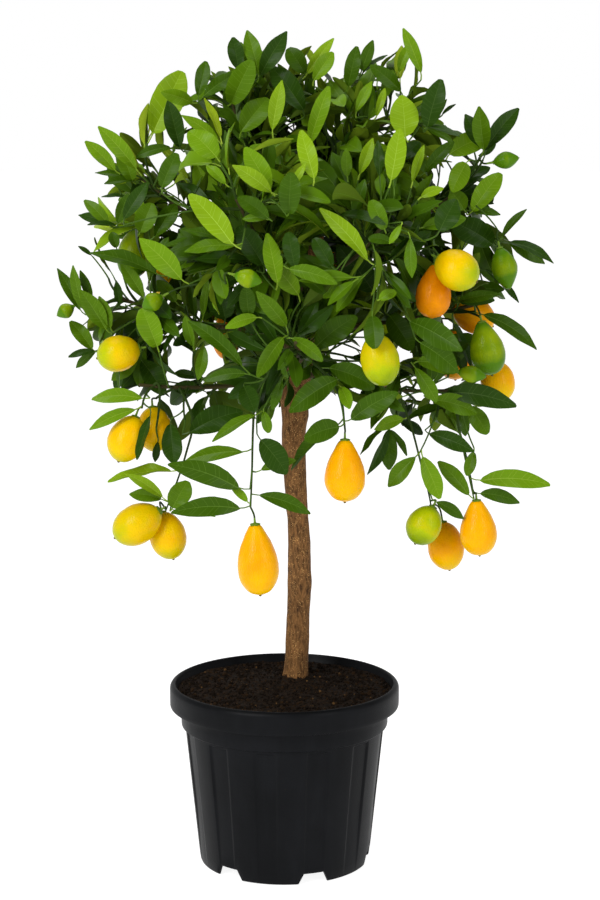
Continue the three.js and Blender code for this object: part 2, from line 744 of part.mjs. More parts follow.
// The places for leaves on one shoot, from its tip down, each with the leaf's root, heading,
// face and size.
function leavesOf(shoot, count, habit, random) {
  const leaves = [];
  const length = shoot[0].at.distanceTo(shoot.at(-1).at);
  const leafy = Math.min(SHOOT.leafyLength / length, SHOOT.leafyShare);
  const firstTurn = random() * 360;
  for (let leaf = 0; leaf < count; leaf += 1) {
    const rise = 1 - leaf / (count - 1);
    const place = 1 - leafy * (1 - rise) - SHOOT.bareTip;
    const { at: root, heading: grain } = onLimb(shoot, place);
    const turn = radians(firstTurn + leaf * SHOOT.turn + (random() - 0.5) * SHOOT.turnSpread);
    const side = new THREE.Vector3(0, 0, 1).addScaledVector(grain, -grain.z);
    if (side.lengthSq() < 0.01) side.set(1, 0, 0).addScaledVector(grain, -grain.x);
    side.normalize();
    const across = grain.clone().cross(side);
    const open = THREE.MathUtils.lerp(SHOOT.wideAngle, SHOOT.closeAngle, rise);
    const angle = radians(open + (random() - 0.5) * SHOOT.angleSpread);
    const heading = grain.clone().multiplyScalar(Math.cos(angle));
    heading.addScaledVector(side, Math.sin(angle) * Math.cos(turn));
    heading.addScaledVector(across, Math.sin(angle) * Math.sin(turn));
    heading.z -= HABITS[habit].weight + random() * SAG;
    heading.normalize();
    const face = root.clone().sub(heart);
    face.z = Math.max(face.z, 0);
    face.normalize().addScaledVector(grain, FACE.along);
    face.z += FACE.up;
    face.x += (random() - 0.5) * FACE.chance;
    face.y += (random() - 0.5) * FACE.chance;
    face.addScaledVector(heading, -face.dot(heading)).normalize();
    const share = (LEAF.smallest + random() * LEAF.spread) * (1 - LEAF.youngShare * rise);
    leaves.push({ root, heading, face, size: LEAF.length * share });
  }
  return leaves;
}

// Corners of a leaf in the plant's frame: root, tip, both edges and the midrib's two faces.
function leafCorners({ root, heading, face, size }) {
  const across = face.clone().cross(heading);
  const scale = size / LEAF.length;
  const at = (along, aside, up) => root.clone()
    .addScaledVector(heading, along)
    .addScaledVector(across, aside)
    .addScaledVector(face, up);
  const widest = size * LEAF.widest;
  const half = (LEAF.width * scale) / 2;
  return {
    root,
    tip: at(size, 0, -LEAF.droop * scale),
    left: at(widest, half, LEAF.fold * scale),
    right: at(widest, -half, LEAF.fold * scale),
    above: at(widest, 0, LEAF.thickness / 2),
    below: at(widest, 0, -LEAF.thickness / 2),
  };
}

// A leaf of eight faces, from an octahedron whose corners move to the leaf's corners.
function leafSolid(corners) {
  const geometry = new THREE.OctahedronGeometry(1, 0);
  const place = geometry.attributes.position;
  for (let i = 0; i < place.count; i += 1) {
    const [x, y, z] = [place.getX(i), place.getY(i), place.getZ(i)].map(Math.round);
    const along = x > 0 ? corners.tip : corners.root;
    const aside = y > 0 ? corners.left : corners.right;
    const upright = z > 0 ? corners.above : corners.below;
    const corner = [[x, along], [y, aside], [z, upright]].find(([where]) => where !== 0)[1];
    place.setXYZ(i, corner.x, corner.y, corner.z);
  }
  return solid(geometry);
}

// Stalk end and hanging direction of a fruit.
function fruitPose(fruit) {
  const lean = radians(fruit.lean);
  const down = atBearing(fruit.bearing).multiplyScalar(Math.sin(lean));
  down.z = -Math.cos(lean);
  const middle = new THREE.Vector3(...fruit.middle);
  const top = middle.clone().addScaledVector(down, -fruit.length / 2);
  return { top, middle, down };
}

function fruitSolid(fruit) {
  const { top, down } = fruitPose(fruit);
  const profile = FRUIT_OUTLINE.map(([along, breadth]) => (
    new THREE.Vector2((breadth * fruit.width) / 2, along * fruit.length)
  ));
  const sides = fruit.width < FRUIT.small ? FRUIT.smallSides : FRUIT.sides;
  const geometry = new THREE.LatheGeometry(profile, sides);
  const turn = new THREE.Quaternion().setFromUnitVectors(new THREE.Vector3(0, 1, 0), down);
  return solid(geometry.applyQuaternion(turn).translate(top.x, top.y, top.z));
}

// The straight stretch inside a fruit that everything else keeps its distance from.
function fruitCore(fruit) {
  const { top, down } = fruitPose(fruit);
  return FRUIT.core.map((along) => top.clone().addScaledVector(down, fruit.length * along));
}

// All fruit, with those of the far side worked out by the rule.
function allFruits() {
  const random = seededRandom(SEEDS.backFruit);
  const far = BACK_FRUIT;
  const all = [...FRUITS];
  for (let i = 0; i < far.count; i += 1) {
    const bearing = THREE.MathUtils.lerp(far.firstBearing, far.lastBearing, (i + 0.5) / far.count);
    const out = atBearing(bearing + (random() - 0.5) * far.bearingSpread);
    out.multiplyScalar(far.radius * (far.smallest + random() * far.spread));
    const height = far.lowest + far.rise * ((i * far.riseTurn) % 1);
    all.push({
      middle: [out.x + far.centre[0], out.y + far.centre[1], height],
      width: far.width * (far.smallest + random() * far.spread),
      length: far.length * (far.smallest + random() * far.lengthSpread),
      bearing,
      lean: random() * far.lean,
    });
  }
  return all;
}

const fruits = allFruits();

// The shoots of one mass, from the foot of its stem upwards: its leading shoots, and those
// whose tips are spread by the golden angle. Their buds are spaced evenly along the stem.
function shootsOf(index) {
  const mass = MASSES[index];
  const { middle, reach, stem } = frames[index];
  const random = seededRandom(SEEDS.shoots + index * SEEDS.massShoots);
  const phase = random() * 2 * Math.PI;
  const tips = LEADERS
    .map(({ tip, habit }) => ({ tip: new THREE.Vector3(...tip), habit, leader: true }))
    .filter(({ tip }) => inSpace(index, [tip]));
  for (let shoot = 0; shoot < mass.shoots; shoot += 1) {
    const height = 1 - (2 * (shoot + 0.5)) / mass.shoots;
    const around = phase + shoot * GOLDEN_ANGLE;
    const level = Math.sqrt(1 - height * height);
    const way = new THREE.Vector3(level * Math.cos(around), level * Math.sin(around), height);
    const depth = SHOOT.shallow + random() * (SHOOT.deep - SHOOT.shallow);
    const tip = middle.clone().add(way.multiply(reach).multiplyScalar(depth));
    const low = height <= SHOOT.levelBelow && mass.tier < SHOOT.highTier;
    const habit = low ? 'level' : 'rising';
    if (inSpace(index, [tip])) tips.push({ tip, habit, leader: false });
  }
  tips.sort((one, other) => abreast(stem, one.tip) - abreast(stem, other.tip));
  return tips.map(({ tip, habit, leader }, rank) => {
    const place = THREE.MathUtils.lerp(STEM.firstBud, 1, (rank + 0.5) / tips.length);
    return { stations: shootOf(stem, tip, habit, place), habit, leader };
  });
}

// True where a straight stretch with a margin round it stays clear of the fruit.
function clearOfFruits(from, to, some, margin) {
  return some.every((fruit) => {
    const [near, far] = fruitCore(fruit);
    return stretchDistance(from, to, near, far) > fruit.width / 2 + margin;
  });
}

// True where a leaf keeps its distance from the leaves and twigs that are there already.
function clearOfGrowth({ root, tip }, leaves, twigs, own) {
  const blade = (leaf) => leaf.root.clone().lerp(leaf.tip, SHOOT.spacedFrom);
  const start = blade({ root, tip });
  const fromLeaves = leaves.every((other) => (
    stretchDistance(start, tip, blade(other), other.tip) > SHOOT.spacing
  ));
  return fromLeaves && twigs.filter((shoot) => shoot !== own).every((shoot) => (
    shoot.slice(1).every(({ at }, link) => (
      stretchDistance(start, tip, shoot[link].at, at) > SHOOT.spacing / 2
    ))
  ));
}

// Everything that grows on the stem of one mass.
function grow(index) {
  const { stem } = frames[index];
  const held = fruits.filter((fruit) => inSpace(index, [fruitPose(fruit).top]));
  const others = fruits.filter((fruit) => !held.includes(fruit));
  const shoots = shootsOf(index).filter(({ stations }) => (
    inSpace(index, stations.map(({ at }) => at))
    && stations.slice(1).every(({ at: to }, link) => {
      const { at: from } = stations[link];
      return clearOfLimbs(from, to, TWIG.radius)
        && clearOfFruits(from, to, others, TWIG.radius + FRUIT_GAP);
    })
  ));
  const twigs = shoots.map(({ stations }) => stations);
  const leaves = [];
  shoots.forEach(({ stations, habit, leader }, number) => {
    const seed = SEEDS.leaves + index * SEEDS.massLeaves + number * SEEDS.leaf;
    const random = seededRandom(seed);
    for (const leaf of leavesOf(stations, SHOOT.leaves, habit, random)) {
      const corners = leafCorners(leaf);
      const { root, tip, left, right } = corners;
      const fits = (leader || inReach(index, tip)) && inSpace(index, [root, tip, left, right])
        && clearOfLimbs(root, tip, LEAF.width * LEAF_ROOM.limb)
        && clearOfFruits(root, tip, held, LEAF.width * LEAF_ROOM.ownFruit)
        && clearOfFruits(root, tip, others, LEAF.width * LEAF_ROOM.otherFruit + FRUIT_GAP)
        && clearOfGrowth(corners, leaves, twigs, stations);
      if (fits) leaves.push(corners);
    }
  });
  return { twigs, leaves, held };
}

// Stalk of a fruit, from the nearest twig or the stem of its mass.
function stalkOf(fruit, limbsNear) {
  const { top, down } = fruitPose(fruit);
  let best = null;
  for (const stations of limbsNear) {
    for (let step = 0; step < STALK.tries; step += 1) {
      const part = step / (STALK.tries - 1);
      const place = THREE.MathUtils.lerp(STALK.lowest, STALK.highest, part);
      const { at: from } = onLimb(stations, place);
      const cost = from.distanceTo(top) + Math.max(top.z - from.z, 0) * STALK.climb;
      if (!best || cost < best.cost) best = { from, cost };
    }
  }
  const end = top.clone().addScaledVector(down, STALK.sunk);
  const bend = best.from.clone().lerp(top, STALK.bendPlace);
  bend.z += STALK.bendRise;
  const curve = new THREE.QuadraticBezierCurve3(best.from, bend, end);
  return stationsOf(curve, taper(STALK.radius, STALK.radius), 1);
}

function makeMass(index) {
  const { stem } = frames[index];
  const { twigs, leaves, held } = grow(index);
  const parts = [limb(stem, STEM.sides)];
  for (const shoot of twigs) parts.push(limb(shoot, TWIG.sides));
  for (const corners of leaves) parts.push(leafSolid(corners));
  for (const fruit of held) {
    parts.push(limb(stalkOf(fruit, [stem, ...twigs]), TWIG.sides));
    parts.push(fruitSolid(fruit));
  }
  return mainBody(wasm.Manifold.union(parts));
}

// Boughs, each cut clear of the trunk that it leaves

function makeBoughs() {
  const trunkWithRoom = makeTrunk(CLEARANCE);
  const boughs = [];
  MASSES.forEach((mass, index) => {
    const { bough } = frames[index];
    if (!bough) return;
    const wood = limb(bough, BOUGH.sides);
    boughs.push([`bough_${mass.name}`, mainBody(wood.subtract(trunkWithRoom))]);
  });
  return boughs;
}

// The whole plant

const plant = new THREE.Group();
plant.name = 'potted_limequat_tree';
plant.add(piece('pot', makePot(), FINISHES.pot));
plant.add(piece('soil', makeSoil(), FINISHES.soil));
plant.add(piece('trunk', makeTrunk(), FINISHES.trunk));
for (const [name, shape] of makeBoughs()) plant.add(piece(name, shape, FINISHES.bough));
MASSES.forEach((mass, index) => {
  plant.add(piece(`foliage_${mass.name}`, makeMass(index), FINISHES.foliage));
});

export default plant;
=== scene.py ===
import logging
import math
from dataclasses import dataclass, field, replace
from enum import Enum
from functools import cache
from typing import Iterator, Mapping, Optional, Sequence, Union

import bpy
import numpy as np
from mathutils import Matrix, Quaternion, Vector, noise


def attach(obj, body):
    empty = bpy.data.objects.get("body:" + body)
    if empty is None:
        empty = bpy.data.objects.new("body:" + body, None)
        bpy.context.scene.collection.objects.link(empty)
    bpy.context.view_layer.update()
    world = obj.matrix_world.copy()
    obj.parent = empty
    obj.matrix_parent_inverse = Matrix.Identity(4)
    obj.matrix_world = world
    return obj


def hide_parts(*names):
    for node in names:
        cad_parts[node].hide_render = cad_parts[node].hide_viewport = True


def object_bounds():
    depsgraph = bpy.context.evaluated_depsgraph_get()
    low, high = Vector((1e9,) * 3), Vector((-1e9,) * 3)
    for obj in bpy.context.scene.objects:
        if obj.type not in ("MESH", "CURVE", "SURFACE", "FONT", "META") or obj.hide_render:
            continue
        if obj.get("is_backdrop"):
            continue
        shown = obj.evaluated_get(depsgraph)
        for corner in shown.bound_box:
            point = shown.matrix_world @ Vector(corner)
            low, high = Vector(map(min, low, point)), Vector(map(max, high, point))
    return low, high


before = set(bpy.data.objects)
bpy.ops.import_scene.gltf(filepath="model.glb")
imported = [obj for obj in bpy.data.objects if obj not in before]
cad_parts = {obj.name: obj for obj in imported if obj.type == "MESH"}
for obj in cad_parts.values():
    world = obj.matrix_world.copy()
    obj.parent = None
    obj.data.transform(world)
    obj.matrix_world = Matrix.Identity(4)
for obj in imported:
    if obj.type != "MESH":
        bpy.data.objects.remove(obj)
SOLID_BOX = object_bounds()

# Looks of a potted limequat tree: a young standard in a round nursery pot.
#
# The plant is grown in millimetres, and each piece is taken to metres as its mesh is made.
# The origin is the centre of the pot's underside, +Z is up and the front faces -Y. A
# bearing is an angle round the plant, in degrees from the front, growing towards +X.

MILLIMETRE = 0.001
BODY = "root"
BAKE_MAP = "OFBake"
GOLDEN_ANGLE = math.pi * (3 - math.sqrt(5))
WORD = 0xFFFFFFFF

log = logging.getLogger("limequat")

Number = Union["Signal", float]
Colour = tuple[float, float, float]
Pixel = tuple[float, float]
Value = Union[float, Vector]


# Small tools


class Chance:
    """Seeded random numbers from 0 to 1."""

    def __init__(self, seed: int) -> None:
        """Starts the row of numbers that belongs to a seed."""
        self.state = seed & WORD

    def __call__(self) -> float:
        """Draws the next number.

        Returns:
            The next number of the row.
        """
        self.state = (self.state + 0x6D2B79F5) & WORD
        mixed = self.state
        mixed = (mixed ^ (mixed >> 15)) * (mixed | 1) & WORD
        mixed ^= (mixed + (mixed ^ (mixed >> 7)) * (mixed | 61)) & WORD
        return ((mixed ^ (mixed >> 14)) & WORD) / (WORD + 1)

    def between(self, low: float, high: float) -> float:
        """A number between two limits."""
        return low + (high - low) * self()

    def about(self, spread: float) -> float:
        """A number within half a spread of 0."""
        return (self() - 0.5) * spread


def mix(first: float, second: float, share: float) -> float:
    """The number that lies a share of the way from the first to the second."""
    return first + (second - first) * share


def clamp(value: float, low: float = 0, high: float = 1) -> float:
    """The value, kept between two limits."""
    return min(max(value, low), high)


def evenly(count: int, last: float = 1) -> list[float]:
    """Places from 0 to the last, a number of equal steps apart."""
    return [last * step / count for step in range(count + 1)]


def hermite(first: Value, leave: Value, last: Value, arrive: Value, share: float) -> Value:
    """A smooth way from one value to another.

    Args:
        first: The value that it starts from.
        leave: Its slope there.
        last: The value that it comes to.
        arrive: Its slope there.
        share: Share of the way, from 0 to 1.

    Returns:
        The value on the way.
    """
    square, cube = share * share, share ** 3
    return (first * (2 * cube - 3 * square + 1) + leave * (cube - 2 * square + share)
            + last * (3 * square - 2 * cube) + arrive * (cube - square))


def at_bearing(bearing: float) -> Vector:
    """The level unit vector at a bearing in degrees."""
    angle = math.radians(bearing)
    return Vector((math.sin(angle), -math.cos(angle), 0))


def without(vector: Vector, axis: Vector) -> Vector:
    """A vector less its part along a unit axis."""
    return vector - axis * vector.dot(axis)


def stretched(vector: Vector, reach: Sequence[float]) -> Vector:
    """A vector stretched along each axis."""
    return Vector(part * scale for part, scale in zip(vector, reach))


def fan(side: Vector, across: Vector, count: int) -> list[Vector]:
    """Unit vectors all round, from one side towards the one at a right angle to it."""
    turns = [2 * math.pi * number / count for number in range(count)]
    return [side * math.cos(turn) + across * math.sin(turn) for turn in turns]


def linear(red: int, green: int, blue: int) -> Colour:
    """A linear colour from the eight-bit values that a screen shows.

    Args:
        red: Red, from 0 to 255.
        green: Green, from 0 to 255.
        blue: Blue, from 0 to 255.

    Returns:
        The three linear values.
    """
    def one(value: int) -> float:
        """One linear value."""
        share = value / 255
        return share / 12.92 if share <= 0.04045 else ((share + 0.055) / 1.055) ** 2.4

    return one(red), one(green), one(blue)


def place_object(name: str, data: bpy.types.ID) -> bpy.types.Object:
    """Puts an object in the scene.

    Args:
        name: Its name.
        data: Its mesh, light or camera.

    Returns:
        The object.
    """
    placed = bpy.data.objects.new(name, data)
    bpy.context.scene.collection.objects.link(placed)
    return placed


class Crowd:
    """Straight stretches that keep others away, such as the midribs of leaves."""

    def __init__(self) -> None:
        """Starts with no stretches."""
        self.rows = np.empty((0, 7))

    def take(self, *points: Vector, radius: float = 0.0) -> None:
        """Adds the stretches from each point to the next, a radius thick."""
        for start, end in zip(points, points[1:]):
            self.rows = np.vstack((self.rows, (*start, *(end - start), radius)))

    def nearest(self, *points: Vector) -> float:
        """Distance from a row of points, joined up, to the surface of the nearest stretch."""
        return min(self._gap(start, end) for start, end in zip(points, points[1:]))

    def _gap(self, start: Vector, end: Vector) -> float:
        """Distance from a new stretch to the surface of the nearest one that is there.

        Args:
            start: One end of the new stretch.
            end: Its other end.

        Returns:
            The distance, or infinity where nothing is there yet.
        """
        if not len(self.rows):
            return math.inf
        along, ways = np.array(end - start), self.rows[:, 3:6]
        between = np.array(start) - self.rows[:, :3]
        aa, bb = along @ along, np.einsum("ij,ij->i", ways, ways)
        ab, cross = ways @ along, np.einsum("ij,ij->i", ways, between)
        spread = np.maximum(aa * bb - ab * ab, 1e-9)
        first = np.clip((ab * cross - bb * (between @ along)) / spread, 0, 1)
        second = np.clip((ab * first + cross) / bb, 0, 1)
        first = np.clip((ab * second - between @ along) / aa, 0, 1)
        gap = between + first[:, None] * along - second[:, None] * ways
        return float((np.linalg.norm(gap, axis=1) - self.rows[:, 6]).min())


# Shader graphs


class Signal:
    """An output of a shader node, which sums and products of values can be written with."""

    def __init__(self, graph: "Graph", socket: bpy.types.NodeSocket) -> None:
        """Wraps one output socket of a graph."""
        self.graph = graph
        self.socket = socket

    def __add__(self, other: Number) -> "Signal":
        """Sum of two values."""
        return self.graph.math("ADD", self, other)

    def __sub__(self, other: Number) -> "Signal":
        """This value less another."""
        return self.graph.math("SUBTRACT", self, other)

    def __rsub__(self, other: Number) -> "Signal":
        """Another value less this one."""
        return self.graph.math("SUBTRACT", other, self)

    def __mul__(self, other: Number) -> "Signal":
        """Product of two values."""
        return self.graph.math("MULTIPLY", self, other)

    __radd__ = __add__
    __rmul__ = __mul__

    def ramp(self, low: float, high: float) -> "Signal":
        """A value from 0 to 1 as this one goes from a low to a high limit."""
        values = {"Value": self, "From Min": low, "From Max": high}
        return self.graph.out("ShaderNodeMapRange", {"clamp": True}, values, "Result")


class Graph:
    """The nodes of a material or of the surround, with the shader that they feed."""

    def __init__(self, owner: bpy.types.ID, shader: str = "Principled BSDF") -> None:
        """Takes up a new owner's nodes.

        Args:
            owner: The material or surround.
            shader: Name of its shader.
        """
        owner.use_nodes = True
        self.owner = owner
        self.nodes = owner.node_tree.nodes
        self.links = owner.node_tree.links
        self.shader = self.nodes[shader]

    def node(self, kind: str, settings: Mapping, values: Mapping) -> bpy.types.Node:
        """Makes any node.

        Args:
            kind: The node's type.
            settings: Its settings, which are set first; stops gives a ramp's colours.
            values: A number, a colour or a signal for each input, by name or by place.

        Returns:
            The node.
        """
        node = self.nodes.new(kind)
        for name, value in settings.items():
            if name == "stops":
                self._set_stops(node.color_ramp, value)
            else:
                setattr(node, name, value)
        for name, value in values.items():
            self._feed(node.inputs[name], value)
        return node

    def _set_stops(self, ramp: bpy.types.ColorRamp, stops: Sequence) -> None:
        """Gives a ramp its stops.

        Args:
            ramp: The ramp.
            stops: Place and colour of each stop.
        """
        while len(ramp.elements) < len(stops):
            ramp.elements.new(0.5)
        for element, (place, colour) in zip(ramp.elements, stops):
            element.position = place
            element.color = (*colour, 1)

    def _feed(self, socket: bpy.types.NodeSocket, value: object) -> None:
        """Gives an input what it takes.

        Args:
            socket: The input.
            value: A signal, a colour or a number.
        """
        if isinstance(value, Signal):
            self.links.new(value.socket, socket)
        elif socket.type == "RGBA":
            socket.default_value = (*value, 1)
        else:
            socket.default_value = value

    def out(self, kind: str, settings: Mapping, values: Mapping, name: object = 0) -> Signal:
        """Makes any node and gives one of its outputs, by name or by place."""
        return Signal(self, self.node(kind, settings, values).outputs[name])

    def math(self, operation: str, first: Number, second: Number) -> Signal:
        """Makes a Math node on two values."""
        return self.out("ShaderNodeMath", {"operation": operation}, {0: first, 1: second})

    def blend(self, share: Number, first: object, second: object) -> Signal:
        """Mixes two colours.

        Args:
            share: How much of the second colour there is, from 0 to 1.
            first: A colour or a signal.
            second: A colour or a signal.

        Returns:
            The mixed colour.
        """
        node = self.node("ShaderNodeMix", {"data_type": "RGBA"}, {"Factor": share, 6: first, 7: second})
        return Signal(self, node.outputs[2])

    def places(self, stretch: Colour = (1, 1, 1)) -> Signal:
        """Places on the piece in metres, stretched along each axis."""
        here = self.out("ShaderNodeTexCoord", {}, {}, "Object")
        return self.out("ShaderNodeVectorMath", {"operation": "MULTIPLY"}, {0: here, 1: stretch})

    def noise(self, places: Signal, scale: float, detail: float = 3, rough: float = 0.55) -> Signal:
        """Cloudy noise from 0 to 1, with a number of blots to the metre."""
        values = {"Vector": places, "Scale": scale, "Detail": detail, "Roughness": rough}
        return self.out("ShaderNodeTexNoise", {}, values, "Fac")

    def cells(self, places: Signal, scale: float) -> Signal:
        """Distance to the nearest of scattered points, with a number of them to the metre."""
        return self.out("ShaderNodeTexVoronoi", {}, {"Vector": places, "Scale": scale}, "Distance")

    def measure(self, name: str) -> Signal:
        """A value that the mesh carries at each of its points."""
        return self.out("ShaderNodeAttribute", {"attribute_name": name}, {}, "Fac")

    def bump(self, height: Signal, depth: float, strength: float = 1) -> Signal:
        """A normal that follows a height, whose full range is a depth in metres."""
        values = {"Height": height, "Distance": depth, "Strength": strength}
        return self.out("ShaderNodeBump", {}, values)

    def set(self, values: Mapping) -> None:
        """Gives the shader's inputs their numbers, colours or signals, by name."""
        for name, value in values.items():
            self._feed(self.shader.inputs[name], value)


# Finishes


@dataclass(frozen=True)
class Finish:
    """What a surface is made of."""

    name: str

    def look(self, graph: Graph) -> Mapping:
        """What the inputs of the finish's shader take, by name."""
        raise NotImplementedError


@cache
def material(finish: Finish) -> bpy.types.Material:
    """Makes the material of a finish, once.

    Args:
        finish: The finish.

    Returns:
        Its material.
    """
    graph = Graph(bpy.data.materials.new(finish.name))
    graph.set(finish.look(graph))
    return graph.owner


@dataclass(frozen=True)
class Plain(Finish):
    """A finish of one colour, for parts too small to show a pattern."""

    colour: Colour
    roughness: float = 0.5
    gloss: float = 0.2  # how strongly it reflects

    def look(self, graph: Graph) -> Mapping:
        """What the inputs of the shader take."""
        return {"Base Color": self.colour, "Roughness": self.roughness,
                "Specular IOR Level": self.gloss}


@dataclass(frozen=True)
class Glowing(Plain):
    """A plain finish that gives off a white light of its own."""

    glow: float = 1.0

    def look(self, graph: Graph) -> Mapping:
        """What the inputs of the shader take."""
        return {**super().look(graph), "Emission Color": (1, 1, 1), "Emission Strength": self.glow}


@dataclass(frozen=True)
class PotPlastic(Finish):
    """Charcoal moulded plastic with a faint grain and rubbed, dusty patches."""

    name: str = "pot_plastic"
    colour: Colour = linear(10, 11, 13)
    dusty: Colour = linear(21, 22, 25)
    grain: float = 900
    grain_depth: float = 0.00012

    def look(self, graph: Graph) -> Mapping:
        """Lays dust over the plastic.

        Args:
            graph: The nodes that it is drawn with.

        Returns:
            What the inputs of the shader take.
        """
        places = graph.places()
        patches = graph.noise(places, 14, 5).ramp(0.42, 0.72)
        runs = graph.noise(graph.places((1, 1, 0.16)), 90, 4).ramp(0.45, 0.75)
        grain = graph.noise(places, self.grain, 2)
        return {
            "Base Color": graph.blend(patches * 0.5 + runs * 0.25, self.colour, self.dusty),
            "Roughness": patches * 0.1 + grain * 0.1 + 0.36,
            "Normal": graph.bump(grain, self.grain_depth),
            "Specular IOR Level": 0.07,
        }


@dataclass(frozen=True)
class SoilBed(Finish):
    """Moist potting soil: near black, with brown fibres and paler bits."""

    name: str = "soil_bed"
    dark: Colour = linear(17, 11, 6)
    brown: Colour = linear(46, 31, 17)
    pale: Colour = linear(112, 86, 52)

    def look(self, graph: Graph) -> Mapping:
        """Scatters paler bits over lumps of earth.

        Args:
            graph: The nodes that it is drawn with.

        Returns:
            What the inputs of the shader take.
        """
        places = graph.places()
        lumps = graph.noise(places, 260, 5, 0.7)
        earth = graph.blend(lumps.ramp(0.42, 0.72), self.dark, self.brown)
        bits = graph.cells(places, 420).ramp(0.2, 0.12) * graph.noise(places, 70, 2).ramp(0.55, 0.7)
        return {
            "Base Color": graph.blend(bits, earth, self.pale),
            "Roughness": 0.92,
            "Specular IOR Level": 0.12,
            "Normal": graph.bump(lumps, 0.0016),
        }


@dataclass(frozen=True)
class Bark(Finish):
    """Brown bark with fine upright furrows and light specks."""

    name: str = "bark"
    furrow: Colour = linear(50, 33, 18)
    ridge: Colour = linear(130, 91, 51)
    speck: Colour = linear(206, 160, 98)

    def look(self, graph: Graph) -> Mapping:
        """Draws out the furrows and scatters the specks.

        Args:
            graph: The nodes that it is drawn with.

        Returns:
            What the inputs of the shader take.
        """
        places = graph.places()
        fibres = graph.noise(graph.places((1, 1, 0.26)), 520, 5, 0.62)
        relief = fibres * 0.75 + graph.noise(places, 70, 4) * 0.25
        wood = graph.blend(relief.ramp(0.34, 0.62), self.furrow, self.ridge)
        specks = graph.cells(places, 700).ramp(0.34, 0.16)
        here = specks * graph.noise(places, 130, 3).ramp(0.4, 0.6)
        return {
            "Base Color": graph.blend(here * 0.95, wood, self.speck),
            "Roughness": 0.86 - relief * 0.12,
            "Specular IOR Level": 0.15,
            "Normal": graph.bump(relief, 0.0012),
        }


@dataclass(frozen=True)
class FruitSkin(Finish):
    """Glossy dimpled rind, from green through yellow to orange as it ripens, then a darker amber that
    is painted shade.
    """

    name: str = "fruit_skin"
    green: Colour = linear(72, 112, 8)
    lime: Colour = linear(158, 172, 6)
    yellow: Colour = linear(216, 178, 1)
    gold: Colour = linear(231, 162, 1)
    orange: Colour = linear(226, 138, 1)
    # Painted shade: a darker, browner orange at the ripe end of the ramp, which the ripest fruit take
    # on in place of the shade of the leaves over them.
    shaded_amber: Colour = linear(190, 106, 1)

    def look(self, graph: Graph) -> Mapping:
        """Colours the rind by its ripeness.

        Args:
            graph: The nodes that it is drawn with.

        Returns:
            What the inputs of the shader take.
        """
        places = graph.places()
        ripe = graph.measure("ripeness") + (graph.noise(places, 40, 3) - 0.5) * 0.36
        stops = ((0.05, self.green), (0.36, self.lime), (0.58, self.yellow), (0.74, self.gold),
                 (0.88, self.orange), (1.0, self.shaded_amber))
        rind = graph.out("ShaderNodeValToRGB", {"stops": stops}, {"Fac": ripe}, "Color")
        pores = graph.cells(places, 620).ramp(0.0, 0.55)
        return {
            "Base Color": graph.blend((1 - pores) * 0.07, rind, self.green),
            "Roughness": 0.25 - pores * 0.05,
            "Normal": graph.bump(pores, 0.0003, 0.5),
            "Specular IOR Level": 0.08,
        }


@dataclass(frozen=True)
class LeafGreen:
    """One shade of leaf: its upper face, its underside and its midrib."""

    name: str
    upper: Colour
    under: Colour
    rib: Colour

    def finishes(self) -> list[Plain]:
        """Makes a leaf's finishes.

        Returns:
            Those of the upper face, the underside and the midrib.
        """
        return [
            Plain(f"leaf_{self.name}", self.upper, 0.28, 0.06),
            Plain(f"leaf_{self.name}_under", self.under, 0.62, 0.03),
            Plain(f"leaf_{self.name}_rib", self.rib, 0.5),
        ]


# Shades of leaf, from the oldest and darkest to the youngest and lightest; a leaf deep in its mass also
# takes a darker one as painted shade, and one near its outside a lighter one as painted light.
LEAF_GREENS = (
    LeafGreen("deep", linear(22, 42, 3), linear(52, 72, 14), linear(42, 64, 8)),
    LeafGreen("bottle", linear(35, 60, 8), linear(64, 84, 22), linear(54, 80, 16)),
    LeafGreen("dark", linear(51, 79, 6), linear(76, 98, 20), linear(72, 102, 16)),
    LeafGreen("mid", linear(71, 102, 9), linear(92, 113, 22), linear(94, 124, 24)),
    LeafGreen("grass", linear(92, 126, 13), linear(106, 128, 26), linear(118, 146, 34)),
    LeafGreen("fresh", linear(113, 144, 18), linear(124, 144, 30), linear(140, 168, 48)),
    LeafGreen("lime", linear(144, 168, 28), linear(146, 162, 34), linear(170, 190, 64)),
)


class TwigFinish(Enum):
    """Finishes of the twigs, from the oldest wood to a fruit's stalk."""

    OLD = Plain("twig_old", linear(58, 54, 28), 0.75, 0.1)
    GREEN = Plain("twig_green", linear(42, 60, 20), 0.6, 0.05)
    YOUNG = Plain("twig_young", linear(60, 86, 26), 0.55, 0.05)
    STALK = Plain("stalk", linear(98, 126, 36), 0.55, 0.1)
    SCAR = Plain("blossom_scar", linear(92, 78, 40), 0.8)

    @classmethod
    def finishes(cls) -> list[Plain]:
        """All of them, in order."""
        return [one.value for one in cls]

    @property
    def slot(self) -> int:
        """Place of this finish among those of a piece."""
        return list(TwigFinish).index(self)


# Meshes


Cell = tuple[float, float, float, float]


def atlas(count: int, area: Cell = (0, 0, 1, 1), margin: float = 0.06) -> Iterator[Cell]:
    """Shares an area of the bake map out in equal cells.

    Args:
        count: How many cells there are.
        area: The area's left, lower, right and upper limits.
        margin: Share of each cell that is left free round it.

    Returns:
        The limits of each cell in turn.
    """
    side = math.ceil(math.sqrt(count))
    width, height = (area[2] - area[0]) / side, (area[3] - area[1]) / side
    for number in range(count):
        row, column = divmod(number, side)
        left, low = area[0] + width * (column + margin), area[1] + height * (row + margin)
        yield left, low, left + width * (1 - 2 * margin), low + height * (1 - 2 * margin)


